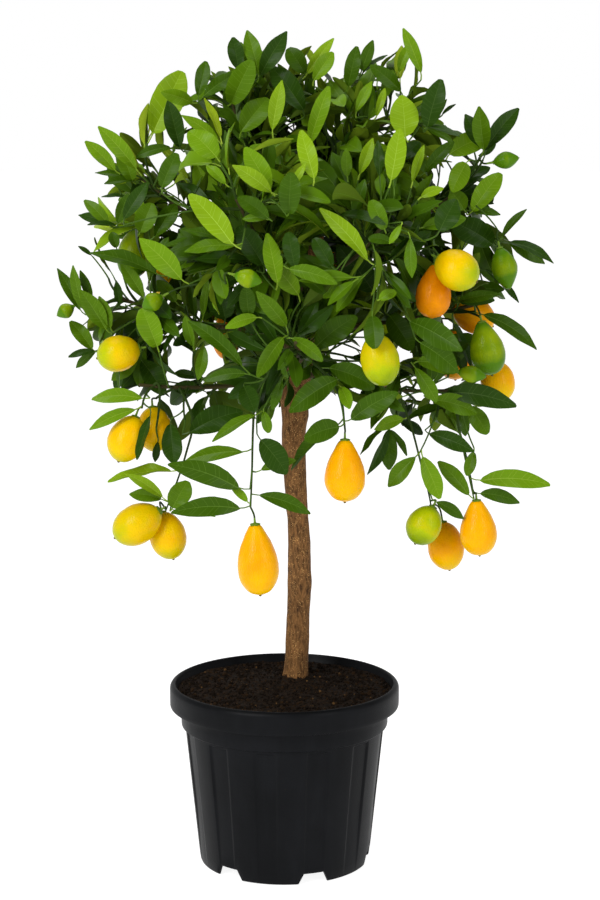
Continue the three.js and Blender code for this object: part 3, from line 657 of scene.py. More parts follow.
class Shape:
    """A piece as it is built up: points in millimetres, and faces with their finishes."""

    def __init__(self) -> None:
        """Starts with nothing."""
        self.points: list[Sequence[float]] = []
        self.faces: list[tuple[int, ...]] = []
        self.slots: list[int] = []
        self.corners: list[tuple[float, float]] = []
        self.measures: dict[str, list[float]] = {}

    def add(self, points: Sequence, faces: Sequence[tuple[int, ...]], slots: Sequence[int],
            corners: Sequence = (), **measures: Sequence[float]) -> None:
        """Adds points and the faces between them.

        Args:
            points: The new points.
            faces: Places of each face's points among the new ones.
            slots: Place of each face's finish.
            corners: Place on the bake map of each corner of each face, if the piece has one.
            measures: Values that the points carry, by name.
        """
        first = len(self.points)
        self.points.extend(points)
        self.faces.extend(tuple(first + corner for corner in face) for face in faces)
        self.slots.extend(slots)
        self.corners.extend(corners)
        for name, values in measures.items():
            self.measures.setdefault(name, []).extend(values)

    def grid(self, rows: Sequence[Sequence], slot: Union[int, Sequence[int]],
             cell: Optional[Cell] = None, ends: Sequence = (None, None), twin: bool = False,
             **measures: Sequence[float]) -> None:
        """Adds rings of points that are joined one to the next, each closed on itself.

        Args:
            rows: The rings, each with as many points; they turn left about the way onward.
            slot: Place of the finish, or of that of each side, or of each side of each strip.
            cell: Where the surface lies on the bake map.
            ends: A point that closes the first ring, and one for the last.
            twin: Whether the second half of each ring backs the first, as on a thin blade,
                so that both are parted along the same diagonals.
            measures: Values of the rings, by name, which the closing points take on.
        """
        count, steps = len(rows[0]), len(rows) - 1
        left, low, right, high = cell or (0, 0, 1, 1)
        points = [point for row in rows for point in row]
        by_side = [slot] * count if isinstance(slot, int) else list(slot)
        slots = by_side * steps if len(by_side) == count else by_side
        faces, corners = [], []

        def spot(step: float, side: float) -> tuple[float, float]:
            """Place on the bake map."""
            return mix(left, right, side / count), mix(low, high, (step + 1) / (steps + 2))

        for step in range(steps):
            for side in range(count):
                after = (side + 1) % count
                face = [step * count + side, step * count + after,
                        (step + 1) * count + after, (step + 1) * count + side]
                if twin and side >= count / 2:
                    face = face[1:] + face[:1]
                faces.append(tuple(face))
                corners += [spot(step, side), spot(step, side + 1),
                            spot(step + 1, side + 1), spot(step + 1, side)]
        for end, base, way, turned in ((ends[0], 0, -1, True), (ends[1], steps, 1, False)):
            if end is None:
                continue
            points.append(end)
            for side in range(count):
                pair = [(base * count + side, spot(base, side)),
                        (base * count + (side + 1) % count, spot(base, side + 1))]
                pair = pair[::-1] if turned else pair
                faces.append((pair[0][0], pair[1][0], len(points) - 1))
                corners += [pair[0][1], pair[1][1], spot(base + way, side + 0.5)]
            slots = slots + by_side[:count]
        carried = {}
        for name, values in measures.items():
            closing = [values[place] for end, place in zip(ends, (0, -1)) if end is not None]
            carried[name] = [value for value in values for _ in range(count)] + closing
        self.add(points, faces, slots, corners if cell else (), **carried)

    def build(self, name: str, finishes: Sequence, crease: float = 50) -> bpy.types.Object:
        """Makes the piece.

        Args:
            name: The piece's name.
            finishes: Its finishes, in the order of their places.
            crease: Angle in degrees from which an edge between two faces looks sharp.

        Returns:
            The piece, which rides with the plant.
        """
        mesh = bpy.data.meshes.new(name)
        places = np.array([tuple(point) for point in self.points]) * MILLIMETRE
        mesh.from_pydata(places.tolist(), [], self.faces)
        for finish in finishes:
            mesh.materials.append(material(finish))
        mesh.polygons.foreach_set("material_index", self.slots)
        mesh.polygons.foreach_set("use_smooth", [True] * len(self.faces))
        mesh.set_sharp_from_angle(angle=math.radians(crease))
        if self.corners:
            layer = mesh.uv_layers.new(name=BAKE_MAP)
            layer.data.foreach_set("uv", [value for corner in self.corners for value in corner])
        for measure, values in self.measures.items():
            mesh.attributes.new(measure, "FLOAT", "POINT").data.foreach_set("value", values)
        piece = place_object(name, mesh)
        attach(piece, BODY)
        log.info("%s: %d faces", name, len(self.faces))
        return piece


# Lines and limbs


class Line:
    """A smooth line in space, followed from 0 to 1."""

    step = 1e-3

    def point(self, place: float) -> Vector:
        """Point at a place along the line."""
        raise NotImplementedError

    def heading(self, place: float) -> Vector:
        """Unit vector along the line at a place."""
        before, after = max(place - self.step, 0), min(place + self.step, 1)
        return (self.point(after) - self.point(before)).normalized()


@dataclass
class Bend(Line):
    """A line from a start to an end, drawn towards a third point on the way."""

    start: Vector
    pull: Vector
    end: Vector

    def point(self, place: float) -> Vector:
        """Point on the line.

        Args:
            place: The place along it.

        Returns:
            The point.
        """
        rest = 1 - place
        return (self.start * rest * rest + self.pull * (2 * rest * place)
                + self.end * place * place)


@dataclass
class Thread(Line):
    """A line through a row of points."""

    points: list[Vector]

    def point(self, place: float) -> Vector:
        """Point on the line.

        Args:
            place: The place along it.

        Returns:
            The point between the two of the row there.
        """
        last = len(self.points) - 1
        index = min(int(place * last), last - 1)
        part = place * last - index
        second, third = self.points[index], self.points[index + 1]
        first = self.points[index - 1] if index else second * 2 - third
        fourth = self.points[index + 2] if index + 2 <= last else third * 2 - second
        return hermite(second, (third - first) / 2, third, (fourth - second) / 2, part)


@dataclass
class Limb:
    """A tapering limb along a line."""

    line: Line
    foot_radius: float
    tip_radius: float
    side: Vector = field(default_factory=lambda: Vector((0.31, 0.83, 0.47)))

    def radius(self, place: float) -> float:
        """Radius at a place from 0 to 1 along the limb."""
        return mix(self.foot_radius, self.tip_radius, place)

    def ends(self, last: float = 1) -> tuple[Vector, Vector]:
        """Its foot, and its tip or the point at a last place."""
        return self.line.point(0), self.line.point(last)

    def links(self, steps: int) -> list[tuple[Vector, Vector, float]]:
        """Straight stretches that follow the limb.

        Args:
            steps: How many there are.

        Returns:
            The ends of each, and the limb's greater radius there.
        """
        places = evenly(steps)
        return [(self.line.point(low), self.line.point(high),
                 max(self.radius(low), self.radius(high)))
                for low, high in zip(places, places[1:])]

    def length(self) -> float:
        """Distance from the limb's foot to its tip."""
        return (self.line.point(1) - self.line.point(0)).length

    def relief(self, at: Vector, out: Vector) -> float:
        """Height of the surface over its plain radius; a plain limb has none."""
        return 0

    def rings(self, sides: int, places: Sequence[float]) -> list[list[Vector]]:
        """Rings of points round the limb.

        Args:
            sides: Points to a ring.
            places: Where the rings lie, from 0 to 1.

        Returns:
            The rings, from the first place on.
        """
        side, rings = self.side.normalized(), []
        for place in places:
            at, heading = self.line.point(place), self.line.heading(place)
            side = without(side, heading).normalized()
            rings.append([at + out * (self.radius(place) + self.relief(at, out))
                          for out in fan(side, heading.cross(side), sides)])
        return rings

    def add_to(self, shape: Shape, sides: int, steps: int, slot: int, last: float = 1,
               cell: Optional[Cell] = None) -> None:
        """Adds the limb to a shape, closed at both ends.

        Args:
            shape: The shape.
            sides: Points to a ring.
            steps: Stretches from ring to ring.
            slot: Place of its finish.
            last: Place up to which it is added.
            cell: Where its surface lies on the bake map.
        """
        shape.grid(self.rings(sides, evenly(steps, last)), slot, cell, self.ends(last))


@dataclass
class Trunk(Limb):
    """The plant's one stem, from the soil to the tip of its leader."""

    line: Line = None
    foot_radius: float = 0
    tip_radius: float = 0
    reach: float = 11  # radius at which the bark's relief is read

    # Centre, height and radius of the wood.
    stations = (
        (10.4, 33.5, 165, 13.6),
        (11.4, 32.5, 186, 11.3),
        (13.1, 30, 230, 10.8),
        (14.5, 28, 262, 11.2),
        (13.2, 26, 320, 10.4),
        (10.2, 23, 372, 10.6),
        (9.1, 21, 420, 11.4),
        (11, 19, 452, 12.6),
        (19, 15, 500, 9.6),
        (27, 11, 548, 7.8),
        (31, 7, 600, 6.2),
        (42, 3, 652, 4.4),
    )

    # Knots and scars: height, bearing, breadth and rise.
    knots = (
        (431, 76, 9, 2.4),
        (446, -70, 11, 2),
        (396, 8, 6, 0.9),
        (342, -84, 7, 1.1),
        (268, 60, 8, 1),
        (232, -40, 6, 0.7),
        (300, 170, 7, 1.4),
        (410, 200, 8, 1.6),
    )

    def __post_init__(self) -> None:
        """Draws the trunk's line through its stations."""
        self.line = Thread([Vector(station[:3]) for station in self.stations])

    def radius(self, place: float) -> float:
        """Radius along the trunk.

        Args:
            place: The place, from 0 to 1.

        Returns:
            The radius between the two stations there.
        """
        last = len(self.stations) - 1
        index = min(int(place * last), last - 1)
        first, second = self.stations[index][3], self.stations[index + 1][3]
        return mix(first, second, place * last - index)

    def place_at(self, height: float) -> float:
        """Looks for a height by halving.

        Args:
            height: The height.

        Returns:
            The place along the trunk that reaches it.
        """
        low, high = 0.0, 1.0
        for _ in range(24):
            middle = (low + high) / 2
            if self.line.point(middle).z < height:
                low = middle
            else:
                high = middle
        return high

    def relief(self, at: Vector, out: Vector) -> float:
        """Height of the bark over the plain trunk: swells, ribs, furrows and knots.

        Args:
            at: A point of the trunk's axis.
            out: The way outwards.

        Returns:
            The height.
        """
        spot, height = at + out * self.reach, 0.0
        for wide, tall, rise in ((0.05, 0.022, 1.2), (0.3, 0.035, 0.55), (0.9, 0.09, 0.35)):
            height += noise.noise(Vector((spot.x * wide, spot.y * wide, spot.z * tall))) * rise
        raised = 0.0
        for level, bearing, breadth, rise in self.knots:
            away = (out * self.reach - at_bearing(bearing) * self.reach).length
            raised += rise * math.exp(-((math.hypot(spot.z - level, away) / breadth) ** 2))
        return height + raised


@dataclass
class Bough(Limb):
    """A bough from the trunk to the mass of foliage that it carries."""

    collar: float = 2.6  # how much wider the bough is at its root
    collar_place: float = 0.16  # how soon the collar has sunk to a third of that

    def radius(self, place: float) -> float:
        """Radius at a place from 0 to 1 along the bough."""
        return super().radius(place) + self.collar * math.exp(-place / self.collar_place)

    def relief(self, at: Vector, out: Vector) -> float:
        """Height of the bark over the plain bough."""
        spot = (at + out * 4) * 0.12
        return noise.noise(spot) * 0.7 + noise.noise(spot * 4) * 0.25


# The crown's plan


class Habit(Enum):
    """How a shoot bends ahead and up, by its length, its leaves droop and its side twigs rise."""

    RISING = (0.16, -0.1, 0.0, 0.25)
    LEVEL = (0.16, 0.15, 0.25, -0.1)
    HANGING = (0.0, 0.0, 0.0, 0.0)

    def __init__(self, ahead: float, lift: float, droop: float, side_lift: float) -> None:
        """Names the four values of a habit.

        Args:
            ahead: How far the shoot bends on the way that it starts.
            lift: How far it bends up.
            droop: How far its leaves hang.
            side_lift: How far its side twigs turn up.
        """
        self.ahead, self.lift = ahead, lift
        self.droop, self.side_lift = droop, side_lift


class Seed(Enum):
    """What grows by chance: the seed of the first of its kind, and the step to the next."""

    TIPS = (1000, 37)
    SHOOTS = (2000, 53)
    LEAVES = (5000, 7)
    SPRAYS = (7000, 31)

    def chance(self, number: int) -> Chance:
        """The row of random numbers of one of the kind."""
        return Chance(self.value[0] + number * self.value[1])


@dataclass(frozen=True)
class Mass:
    """A mass of foliage on one bough."""

    name: str
    middle: Colour
    reach: Colour
    fork: float  # height at which its bough leaves the trunk
    tier: int
    shoots: int  # shoots that the rule grew in its solid
    shade: float  # mean shade of its leaves, as a place among LEAF_GREENS


MASSES = (
    Mass("top_left", (-28, -18, 688), (92, 92, 100), 590, 4, 5, 3.0),
    Mass("top_right", (82, -14, 688), (92, 92, 100), 652, 4, 5, 3.3),
    Mass("top_back", (26, 70, 676), (104, 104, 100), 606, 4, 8, 2.2),
    Mass("upper_left", (-98, 0, 634), (98, 104, 98), 556, 3, 5, 3.2),
    Mass("upper_right", (136, 4, 630), (98, 104, 98), 566, 3, 5, 2.4),
    Mass("upper_front_left", (-26, -98, 618), (98, 100, 98), 534, 3, 6, 3.1),
    Mass("upper_front_right", (74, -98, 604), (98, 100, 98), 546, 3, 6, 3.1),
    Mass("upper_back_left", (-66, 104, 594), (104, 100, 98), 524, 3, 5, 2.4),
    Mass("upper_back_right", (104, 104, 590), (104, 100, 98), 514, 3, 5, 2.2),
    Mass("side_left", (-118, -10, 536), (98, 100, 90), 492, 2, 5, 2.4),
    Mass("side_right", (150, -4, 534), (104, 100, 92), 504, 2, 5, 2.5),
    Mass("lower_left", (-92, -38, 468), (108, 96, 78), 462, 1, 5, 1.8),
    Mass("lower_right", (118, -38, 466), (112, 96, 78), 470, 1, 5, 2.7),
    Mass("lower_front", (12, -96, 508), (92, 96, 86), 478, 1, 5, 2.2),
    Mass("lower_back", (14, 108, 488), (128, 94, 82), 482, 1, 6, 2.0),
)

# Leading shoots, which reach past the rest: where each ends, and its habit.
LEADERS = (
    ((-32, -24, 742), Habit.RISING),
    ((4, -6, 738), Habit.RISING),
    ((50, -16, 734), Habit.RISING),
    ((98, -12, 742), Habit.RISING),
    ((130, -22, 700), Habit.RISING),
    ((184, -4, 684), Habit.RISING),
    ((176, -34, 618), Habit.RISING),
    ((-92, -20, 708), Habit.RISING),
    ((-128, -10, 684), Habit.RISING),
    ((-146, -12, 656), Habit.RISING),
    ((-150, -24, 600), Habit.RISING),
    ((-164, -18, 540), Habit.LEVEL),
    ((-156, -34, 496), Habit.LEVEL),
    ((200, -24, 560), Habit.LEVEL),
    ((196, 0, 596), Habit.RISING),
    ((194, -30, 516), Habit.LEVEL),
    ((-148, -48, 444), Habit.LEVEL),
    ((176, -36, 444), Habit.LEVEL),
)

# Shoots that hang below the crown: how deep each lies, and the pixels that it runs through.
HANGERS = (
    (-118, ((256, 396), (253, 430), (252, 470), (250, 523))),
    (-64, ((193, 424), (187, 450), (179, 476), (166, 510))),
    (-52, ((160, 392), (157, 424), (150, 452))),
    (-109, ((340, 396), (344, 420), (346, 441))),
    (-60, ((400, 395), (411, 425), (420, 460), (428, 490), (431, 506))),
    (-58, ((458, 424), (465, 452), (471, 480), (474, 499))),
)


@dataclass(frozen=True)
class Spray:
    """Leaves that stand out in the photograph, placed by its pixels."""

    foot: Pixel  # where they leave their twig
    leaves: tuple  # across and down to each tip, the blade's breadth as seen, and its shade


SPRAYS = tuple(Spray(foot, leaves) for foot, *leaves in (
    # The hanging shoots.
    ((252, 449), (184, 462, 17, 3)), ((257, 434), (287, 474, 24, 1)), ((256, 472), (296, 460, 13, 3)),
    ((250, 489), (167, 464, 22, 2)), ((251, 494), (311, 514, 17, 2)),
    ((250, 506), (170, 513, 20, 2), (231, 486, 8, 4)), ((181, 469), (107, 482, 11, 5)),
    ((170, 511), (188, 481, 22, 3), (216, 517, 9, 4)),
    ((166, 501), (129, 494, 16, 3), (126, 474, 12, 5)),
    ((344, 424), (304, 439, 22, 2), (398, 392, 22, 2), (291, 471, 14, 2)),
    ((420, 452), (388, 487, 19, 3), (440, 499, 19, 4)), ((432, 499), (464, 519, 12, 2)),
    ((474, 499), (438, 461, 17, 3)), ((470, 478), (551, 485, 19, 4)), ((474, 492), (520, 503, 14, 2)),
    # Along the crown's foot, from the left.
    ((142, 406), (89, 430, 13, 4)), ((150, 408), (137, 460, 8, 1)), ((158, 438), (155, 462, 8, 1)),
    ((172, 418), (174, 463, 22, 1)), ((182, 434), (243, 411, 30, 1)),
    ((262, 411), (212, 442, 10, 3), (269, 433, 11, 3)), ((338, 385), (350, 409, 14, 4)),
    ((408, 417), (374, 430, 13, 4)),
    ((388, 425), (407, 456, 7, 2), (389, 470, 16, 2), (367, 475, 9, 1), (360, 455, 6, 2)),
    ((398, 422), (457, 405, 10, 2), (423, 434, 12, 0)), ((425, 430), (475, 452, 18, 1)),
    ((474, 448), (467, 476, 12, 3)), ((424, 396), (478, 414, 22, 3)), ((468, 402), (488, 434, 18, 3)),
    ((436, 392), (517, 406, 22, 1)),
    # The right side, from its foot up.
    ((411, 362), (437, 402, 17, 3), (459, 371, 20, 3)), ((415, 338), (458, 372, 24, 2)),
    ((405, 315), (463, 351, 26, 2)),
    ((385, 313), (412, 350, 22, 2), (326, 309, 8, 5), (404, 303, 6, 1)), ((452, 316), (471, 367, 8, 1)),
    ((474, 312), (537, 350, 15, 2)), ((455, 303), (495, 300, 13, 1), (501, 294, 13, 2)),
    ((478, 268), (519, 303, 8, 1)), ((503, 242), (545, 264, 15, 2), (554, 264, 9, 1), (527, 209, 9, 2)),
    ((497, 246), (452, 222, 30, 1)), ((436, 236), (456, 199, 24, 1)),
    ((467, 215), (501, 173, 22, 4), (451, 190, 18, 3), (501, 215, 10, 2)),
    ((484, 155), (465, 114, 18, 1), (479, 106, 20, 3), (519, 108, 20, 1)),
    ((446, 160), (488, 137, 22, 4)), ((470, 160), (452, 192, 20, 4)), ((418, 200), (444, 188, 11, 5)),
    ((420, 176), (454, 141, 14, 2)),
    # The top, from the right.
    ((424, 132), (441, 79, 22, 1), (447, 99, 9, 2), (453, 142, 8, 2), (460, 137, 5, 1)),
    ((440, 117), (456, 104, 4, 1)), ((408, 142), (402, 95, 28, 5)), ((400, 162), (420, 142, 16, 1)),
    ((411, 188), (424, 145, 10, 5)), ((421, 80), (403, 28, 14, 4)), ((397, 76), (409, 44, 12, 4)),
    ((403, 97), (370, 65, 17, 2)), ((389, 188), (400, 128, 20, 5)), ((380, 182), (378, 140, 12, 1)),
    ((374, 120), (385, 88, 9, 5)), ((360, 76), (373, 40, 12, 2), (388, 55, 6, 1)),
    ((356, 118), (372, 81, 12, 4)), ((346, 92), (357, 46, 16, 2)), ((376, 152), (349, 115, 24, 5)),
    ((358, 180), (373, 138, 14, 5)), ((326, 160), (318, 130, 12, 4)), ((313, 86), (333, 52, 18, 4)),
    ((305, 78), (288, 48, 20, 2), (334, 38, 12, 5)), ((304, 150), (329, 86, 18, 4)),
    ((313, 186), (301, 130, 18, 5)), ((287, 192), (306, 163, 9, 5)), ((304, 118), (272, 67, 26, 1)),
    ((273, 138), (282, 80, 16, 5)), ((257, 82), (247, 30, 19, 3), (287, 31, 21, 1)),
    ((240, 74), (233, 37, 18, 1)), ((240, 138), (268, 98, 26, 3)), ((228, 106), (252, 60, 26, 3)),
    ((275, 196), (245, 147, 22, 4), (232, 165, 18, 5)), ((229, 187), (206, 165, 12, 4)),
    ((222, 144), (204, 98, 8, 6), (181, 115, 12, 4)), ((220, 162), (189, 131, 24, 4)),
    ((199, 101), (206, 61, 16, 2), (240, 72, 14, 2)), ((197, 103), (161, 92, 16, 4)),
    ((192, 158), (212, 198, 26, 4)),
    # The left side, from its top down.
    ((184, 152), (168, 100, 20, 1)), ((148, 143), (182, 71, 33, 5)), ((175, 150), (136, 157, 12, 2)),
    ((142, 176), (98, 126, 19, 4)), ((162, 193), (177, 153, 18, 2)),
    ((136, 184), (119, 148, 18, 3), (94, 173, 8, 2), (104, 184, 7, 2)), ((120, 174), (85, 141, 15, 4)),
    ((130, 200), (150, 178, 16, 1), (101, 197, 4, 1)), ((124, 225), (148, 182, 16, 1)),
    ((138, 236), (152, 203, 22, 3)), ((150, 240), (177, 203, 20, 2)),
    ((113, 228), (84, 200, 13, 3), (78, 215, 12, 1), (128, 193, 13, 2), (87, 225, 5, 1)),
    ((241, 249), (189, 194, 24, 5), (184, 230, 12, 2), (184, 252, 12, 3)),
    ((189, 284), (139, 238, 24, 4)), ((168, 276), (88, 253, 17, 2)), ((117, 250), (112, 232, 12, 2)),
    ((93, 257), (78, 246, 5, 1)), ((148, 302), (120, 262, 15, 3)), ((179, 305), (157, 280, 13, 3)),
    ((122, 308), (116, 280, 9, 1)), ((86, 315), (57, 268, 13, 2), (73, 265, 10, 3)),
    ((95, 305), (80, 270, 10, 2)), ((112, 334), (80, 290, 20, 3), (99, 296, 14, 3)),
    ((97, 352), (70, 321, 16, 3), (68, 357, 8, 1), (76, 368, 9, 2)), ((159, 352), (142, 308, 25, 4)),
    ((140, 355), (165, 395, 22, 1)), ((203, 342), (198, 380, 12, 3)),
    ((250, 374), (188, 321, 18, 2), (203, 381, 12, 2)),
    # The middle.
    ((262, 318), (225, 328, 12, 4)), ((276, 290), (267, 233, 18, 4)), ((300, 302), (268, 258, 20, 4)),
    ((284, 266), (338, 284, 16, 3)), ((376, 266), (319, 208, 18, 5)),
    ((288, 333), (256, 291, 18, 3), (257, 377, 16, 3), (323, 361, 15, 3)),
    ((310, 350), (357, 316, 24, 2)), ((372, 311), (375, 349, 22, 2)), ((322, 368), (375, 388, 24, 2)),
    ((408, 232), (412, 278, 14, 3)), ((377, 300), (396, 291, 12, 4)), ((342, 377), (289, 412, 24, 2)),
    ((245, 383), (255, 412, 20, 1)), ((284, 376), (272, 410, 10, 2)), ((150, 398), (91, 399, 17, 4)),
    ((204, 390), (172, 387, 16, 1)), ((272, 221), (238, 197, 18, 2), (242, 219, 10, 3)),
    ((287, 216), (291, 172, 24, 2)), ((296, 270), (288, 232, 18, 1)), ((264, 273), (238, 226, 26, 1)),
    ((250, 320), (246, 286, 16, 2)), ((224, 324), (217, 284, 28, 1)), ((196, 322), (191, 284, 9, 2)),
    ((201, 322), (208, 280, 9, 3)), ((386, 233), (371, 200, 17, 3)), ((394, 242), (368, 238, 12, 2)),
    ((402, 222), (389, 244, 8, 4)), ((414, 222), (446, 248, 12, 2)), ((424, 236), (433, 262, 12, 2)),
    ((409, 277), (404, 304, 12, 3)), ((376, 300), (338, 246, 28, 1)), ((348, 182), (346, 148, 11, 3)),
    ((335, 215), (386, 225, 8, 1)), ((336, 270), (314, 238, 18, 1)),
))

# The crown's outline in the photograph, in pixels across and down.
OUTLINE = (
    (100, 424), (96, 394), (112, 376), (98, 360), (76, 350), (74, 324), (84, 300), (70, 284),
    (96, 300), (132, 304), (104, 268), (88, 254), (84, 232), (80, 214), (88, 200), (102, 192),
    (98, 172), (92, 148), (102, 128), (130, 128), (150, 98), (176, 82), (192, 90), (199, 66),
    (226, 66), (234, 44), (248, 36), (262, 46), (280, 38), (276, 60), (286, 66), (292, 50),
    (304, 44), (326, 44), (330, 76), (340, 80), (358, 50), (372, 46), (384, 58), (396, 52),
    (404, 36), (420, 52), (424, 80), (438, 82), (438, 104), (450, 124), (464, 118), (480, 112),
    (510, 112), (494, 154), (498, 174), (494, 196), (500, 226), (522, 232), (544, 256),
    (520, 262), (508, 296), (506, 316), (528, 342), (506, 340), (504, 366), (516, 404),
    (490, 412), (486, 430), (474, 420), (470, 446), (430, 434), (404, 428), (386, 440),
    (368, 428), (356, 402), (322, 392), (304, 404), (282, 410), (268, 424), (246, 424),
    (212, 440), (180, 440), (174, 458), (160, 424), (136, 404), (118, 414),
)

# Gaps in the crown that show sky: the middle of each, and half its breadth and height.
SKY = (
    (180, 118, 8, 14), (160, 163, 8, 7), (186, 164, 5, 6), (172, 190, 7, 7), (182, 204, 9, 5),
    (173, 222, 6, 14), (126, 247, 9, 5), (140, 271, 14, 4), (104, 284, 14, 13),
    (130, 294, 10, 7), (178, 284, 5, 6), (131, 328, 4, 5), (180, 359, 10, 10),
    (212, 358, 11, 13), (243, 384, 6, 4), (345, 352, 15, 8), (362, 338, 6, 6),
    (352, 370, 8, 8), (402, 352, 5, 10), (345, 323, 3, 5), (378, 328, 4, 5), (376, 271, 5, 4),
    (395, 268, 6, 5), (425, 258, 4, 6), (452, 120, 6, 11), (440, 178, 7, 9), (409, 75, 4, 12),
    (394, 104, 5, 8), (447, 240, 5, 6), (468, 246, 5, 6), (486, 262, 5, 10), (462, 336, 3, 12),
    (446, 384, 12, 5), (405, 388, 5, 9), (331, 408, 9, 9), (356, 402, 4, 8), (394, 428, 5, 5),
    (290, 124, 5, 7), (328, 120, 6, 4), (311, 88, 5, 4),
)


class FruitForm(Enum):
    """Outlines of the fruit from the stalk on: places along it, and breadths there."""

    PEAR = ((0, 0.0), (0.006, 0.2), (0.03, 0.31), (0.09, 0.43), (0.18, 0.59), (0.3, 0.78),
            (0.45, 0.94), (0.6, 1.0), (0.74, 0.95), (0.87, 0.74), (0.96, 0.42), (1, 0.0))
    EGG = ((0, 0.0), (0.006, 0.18), (0.035, 0.36), (0.11, 0.6), (0.22, 0.8), (0.36, 0.95),
           (0.5, 1.0), (0.66, 0.96), (0.8, 0.81), (0.91, 0.56), (0.975, 0.28), (1, 0.0))
    SPINDLE = ((0, 0.0), (0.01, 0.16), (0.06, 0.36), (0.16, 0.62), (0.3, 0.86), (0.44, 0.99),
               (0.56, 0.98), (0.7, 0.82), (0.82, 0.58), (0.91, 0.36), (0.97, 0.2), (1, 0.0))

    def breadth(self, place: float) -> float:
        """Breadth of the fruit, as a share of its greatest.

        Args:
            place: The place along it, from 0 to 1.

        Returns:
            The breadth there.
        """
        stops = self.value
        upper = next(number for number, stop in enumerate(stops) if stop[0] >= place)
        low, high = stops[upper - 1:upper + 1]
        gap = high[0] - low[0]
        share = (place - low[0]) / gap
        if upper in (1, len(stops) - 1):
            return mix(low[1], high[1], share)
        before, after = stops[upper - 2], stops[upper + 1]
        leave = (high[1] - before[1]) / (high[0] - before[0]) * gap
        arrive = (after[1] - low[1]) / (after[0] - low[0]) * gap
        return hermite(low[1], leave, high[1], arrive, share)


@dataclass(frozen=True)
class Fruit:
    """A fruit on the plant. Its lean is from hanging straight down, towards a bearing."""

    middle: Colour
    width: float
    length: float
    bearing: float
    lean: float
    ripeness: float  # from 0, green, to 1, orange
    form: FruitForm = FruitForm.EGG
    shown: bool = True  # whether it hangs in the open at the front

    @property
    def down(self) -> Vector:
        """The way that the fruit hangs."""
        lean = math.radians(self.lean)
        return at_bearing(self.bearing) * math.sin(lean) - Vector((0, 0, math.cos(lean)))

    def along(self, place: float) -> Vector:
        """Point on the fruit's axis, from 0 at the stalk to 1 at the blossom end."""
        return Vector(self.middle) + self.down * (self.length * (place - 0.5))

    def fan(self, count: int) -> list[Vector]:
        """Unit vectors all round the fruit."""
        side = self.down.orthogonal().normalized()
        return fan(side, self.down.cross(side), count)


PEAR, EGG, SPINDLE = FruitForm

FRUITS = (
    Fruit((-151, -52, 498), 33, 40, -80, 78, 0.56),
    Fruit((-143, -66, 421), 34, 44, -60, 24, 0.66),
    Fruit((-120, -34, 425), 33, 42, 30, 10, 0.66),
    Fruit((-135, -62, 341), 37, 49, -90, 58, 0.58),
    Fruit((-108, -46, 327), 34, 45, 60, 16, 0.64),
    Fruit((-23, -120, 320), 37, 65, 90, 4, 0.76, PEAR),
    Fruit((55, -110, 399), 36, 56, 0, 4, 0.79, PEAR),
    Fruit((85, -126, 501), 34, 47, 80, 12, 0.46),
    Fruit((129, -62, 340), 32, 38, -80, 26, 0.4),
    Fruit((152, -26, 313), 34, 46, 60, 10, 0.76),
    Fruit((179, -60, 337), 34, 52, 90, 4, 0.78, PEAR),
    Fruit((199, -16, 468), 32, 40, 60, 20, 0.72),
    Fruit((185, -58, 503), 32, 50, 90, 12, 0.2, PEAR),
    Fruit((178, 8, 527), 33, 42, 90, 60, 0.84),
    # Painted shade in part: this fruit's ripeness takes it into the darker amber, which stands for the
    # leaves that shade it.
    Fruit((134, -92, 558), 32, 48, -40, 8, 0.98, PEAR),
    Fruit((153, -112, 579), 36, 42, 66, 62, 0.58),
    Fruit((201, -46, 575), 24, 39, 90, 14, 0.12, SPINDLE),
    Fruit((204, -14, 672), 16, 24, 90, 100, 0.08, SPINDLE),
    Fruit((-203, -12, 533), 14, 18, -90, 60, 0.1, SPINDLE),
    Fruit((-117, -84, 548), 17, 21, -90, 60, 0.12, SPINDLE),
    Fruit((-29, -180, 577), 16, 24, 90, 75, 0.14, SPINDLE),
    Fruit((169, -92, 484), 15, 26, 90, 80, 0.16, SPINDLE),
)


@dataclass(frozen=True)
class FarFruit:
    """The rule that deals fruit round the far side of the crown."""

    ripeness: tuple = (0.9, 0.62, 0.3, 0.84, 0.5, 0.95, 0.66, 0.2)
    first_bearing: float = 92
    last_bearing: float = 268
    bearing_spread: float = 8
    centre: tuple[float, float] = (20, 5)
    radius: float = 168
    lowest: float = 486
    rise: float = 100
    rise_turn: float = 0.618
    width: float = 34
    length: float = 49
    smallest: float = 0.86
    spread: float = 0.2
    length_spread: float = 0.24
    lean: float = 22
    seed: int = 77

    def deal(self) -> Iterator[Fruit]:
        """Deals the fruit round the far side.

        Returns:
            Each fruit in turn.
        """
        chance = Chance(self.seed)
        count = len(self.ripeness)
        for number in range(count):
            share = (number + 0.5) / count
            bearing = mix(self.first_bearing, self.last_bearing, share)
            out = at_bearing(bearing + chance.about(self.bearing_spread))
            out = out * (self.radius * (self.smallest + chance() * self.spread))
            height = self.lowest + self.rise * (number * self.rise_turn % 1)
            middle = (out.x + self.centre[0], out.y + self.centre[1], height)
            width = self.width * (self.smallest + chance() * self.spread)
            length = self.length * (self.smallest + chance() * self.length_spread)
            lean = chance() * self.lean
            form, ripeness = EGG if number % 3 else PEAR, self.ripeness[number]
            yield Fruit(middle, width, length, bearing, lean, ripeness, form, False)


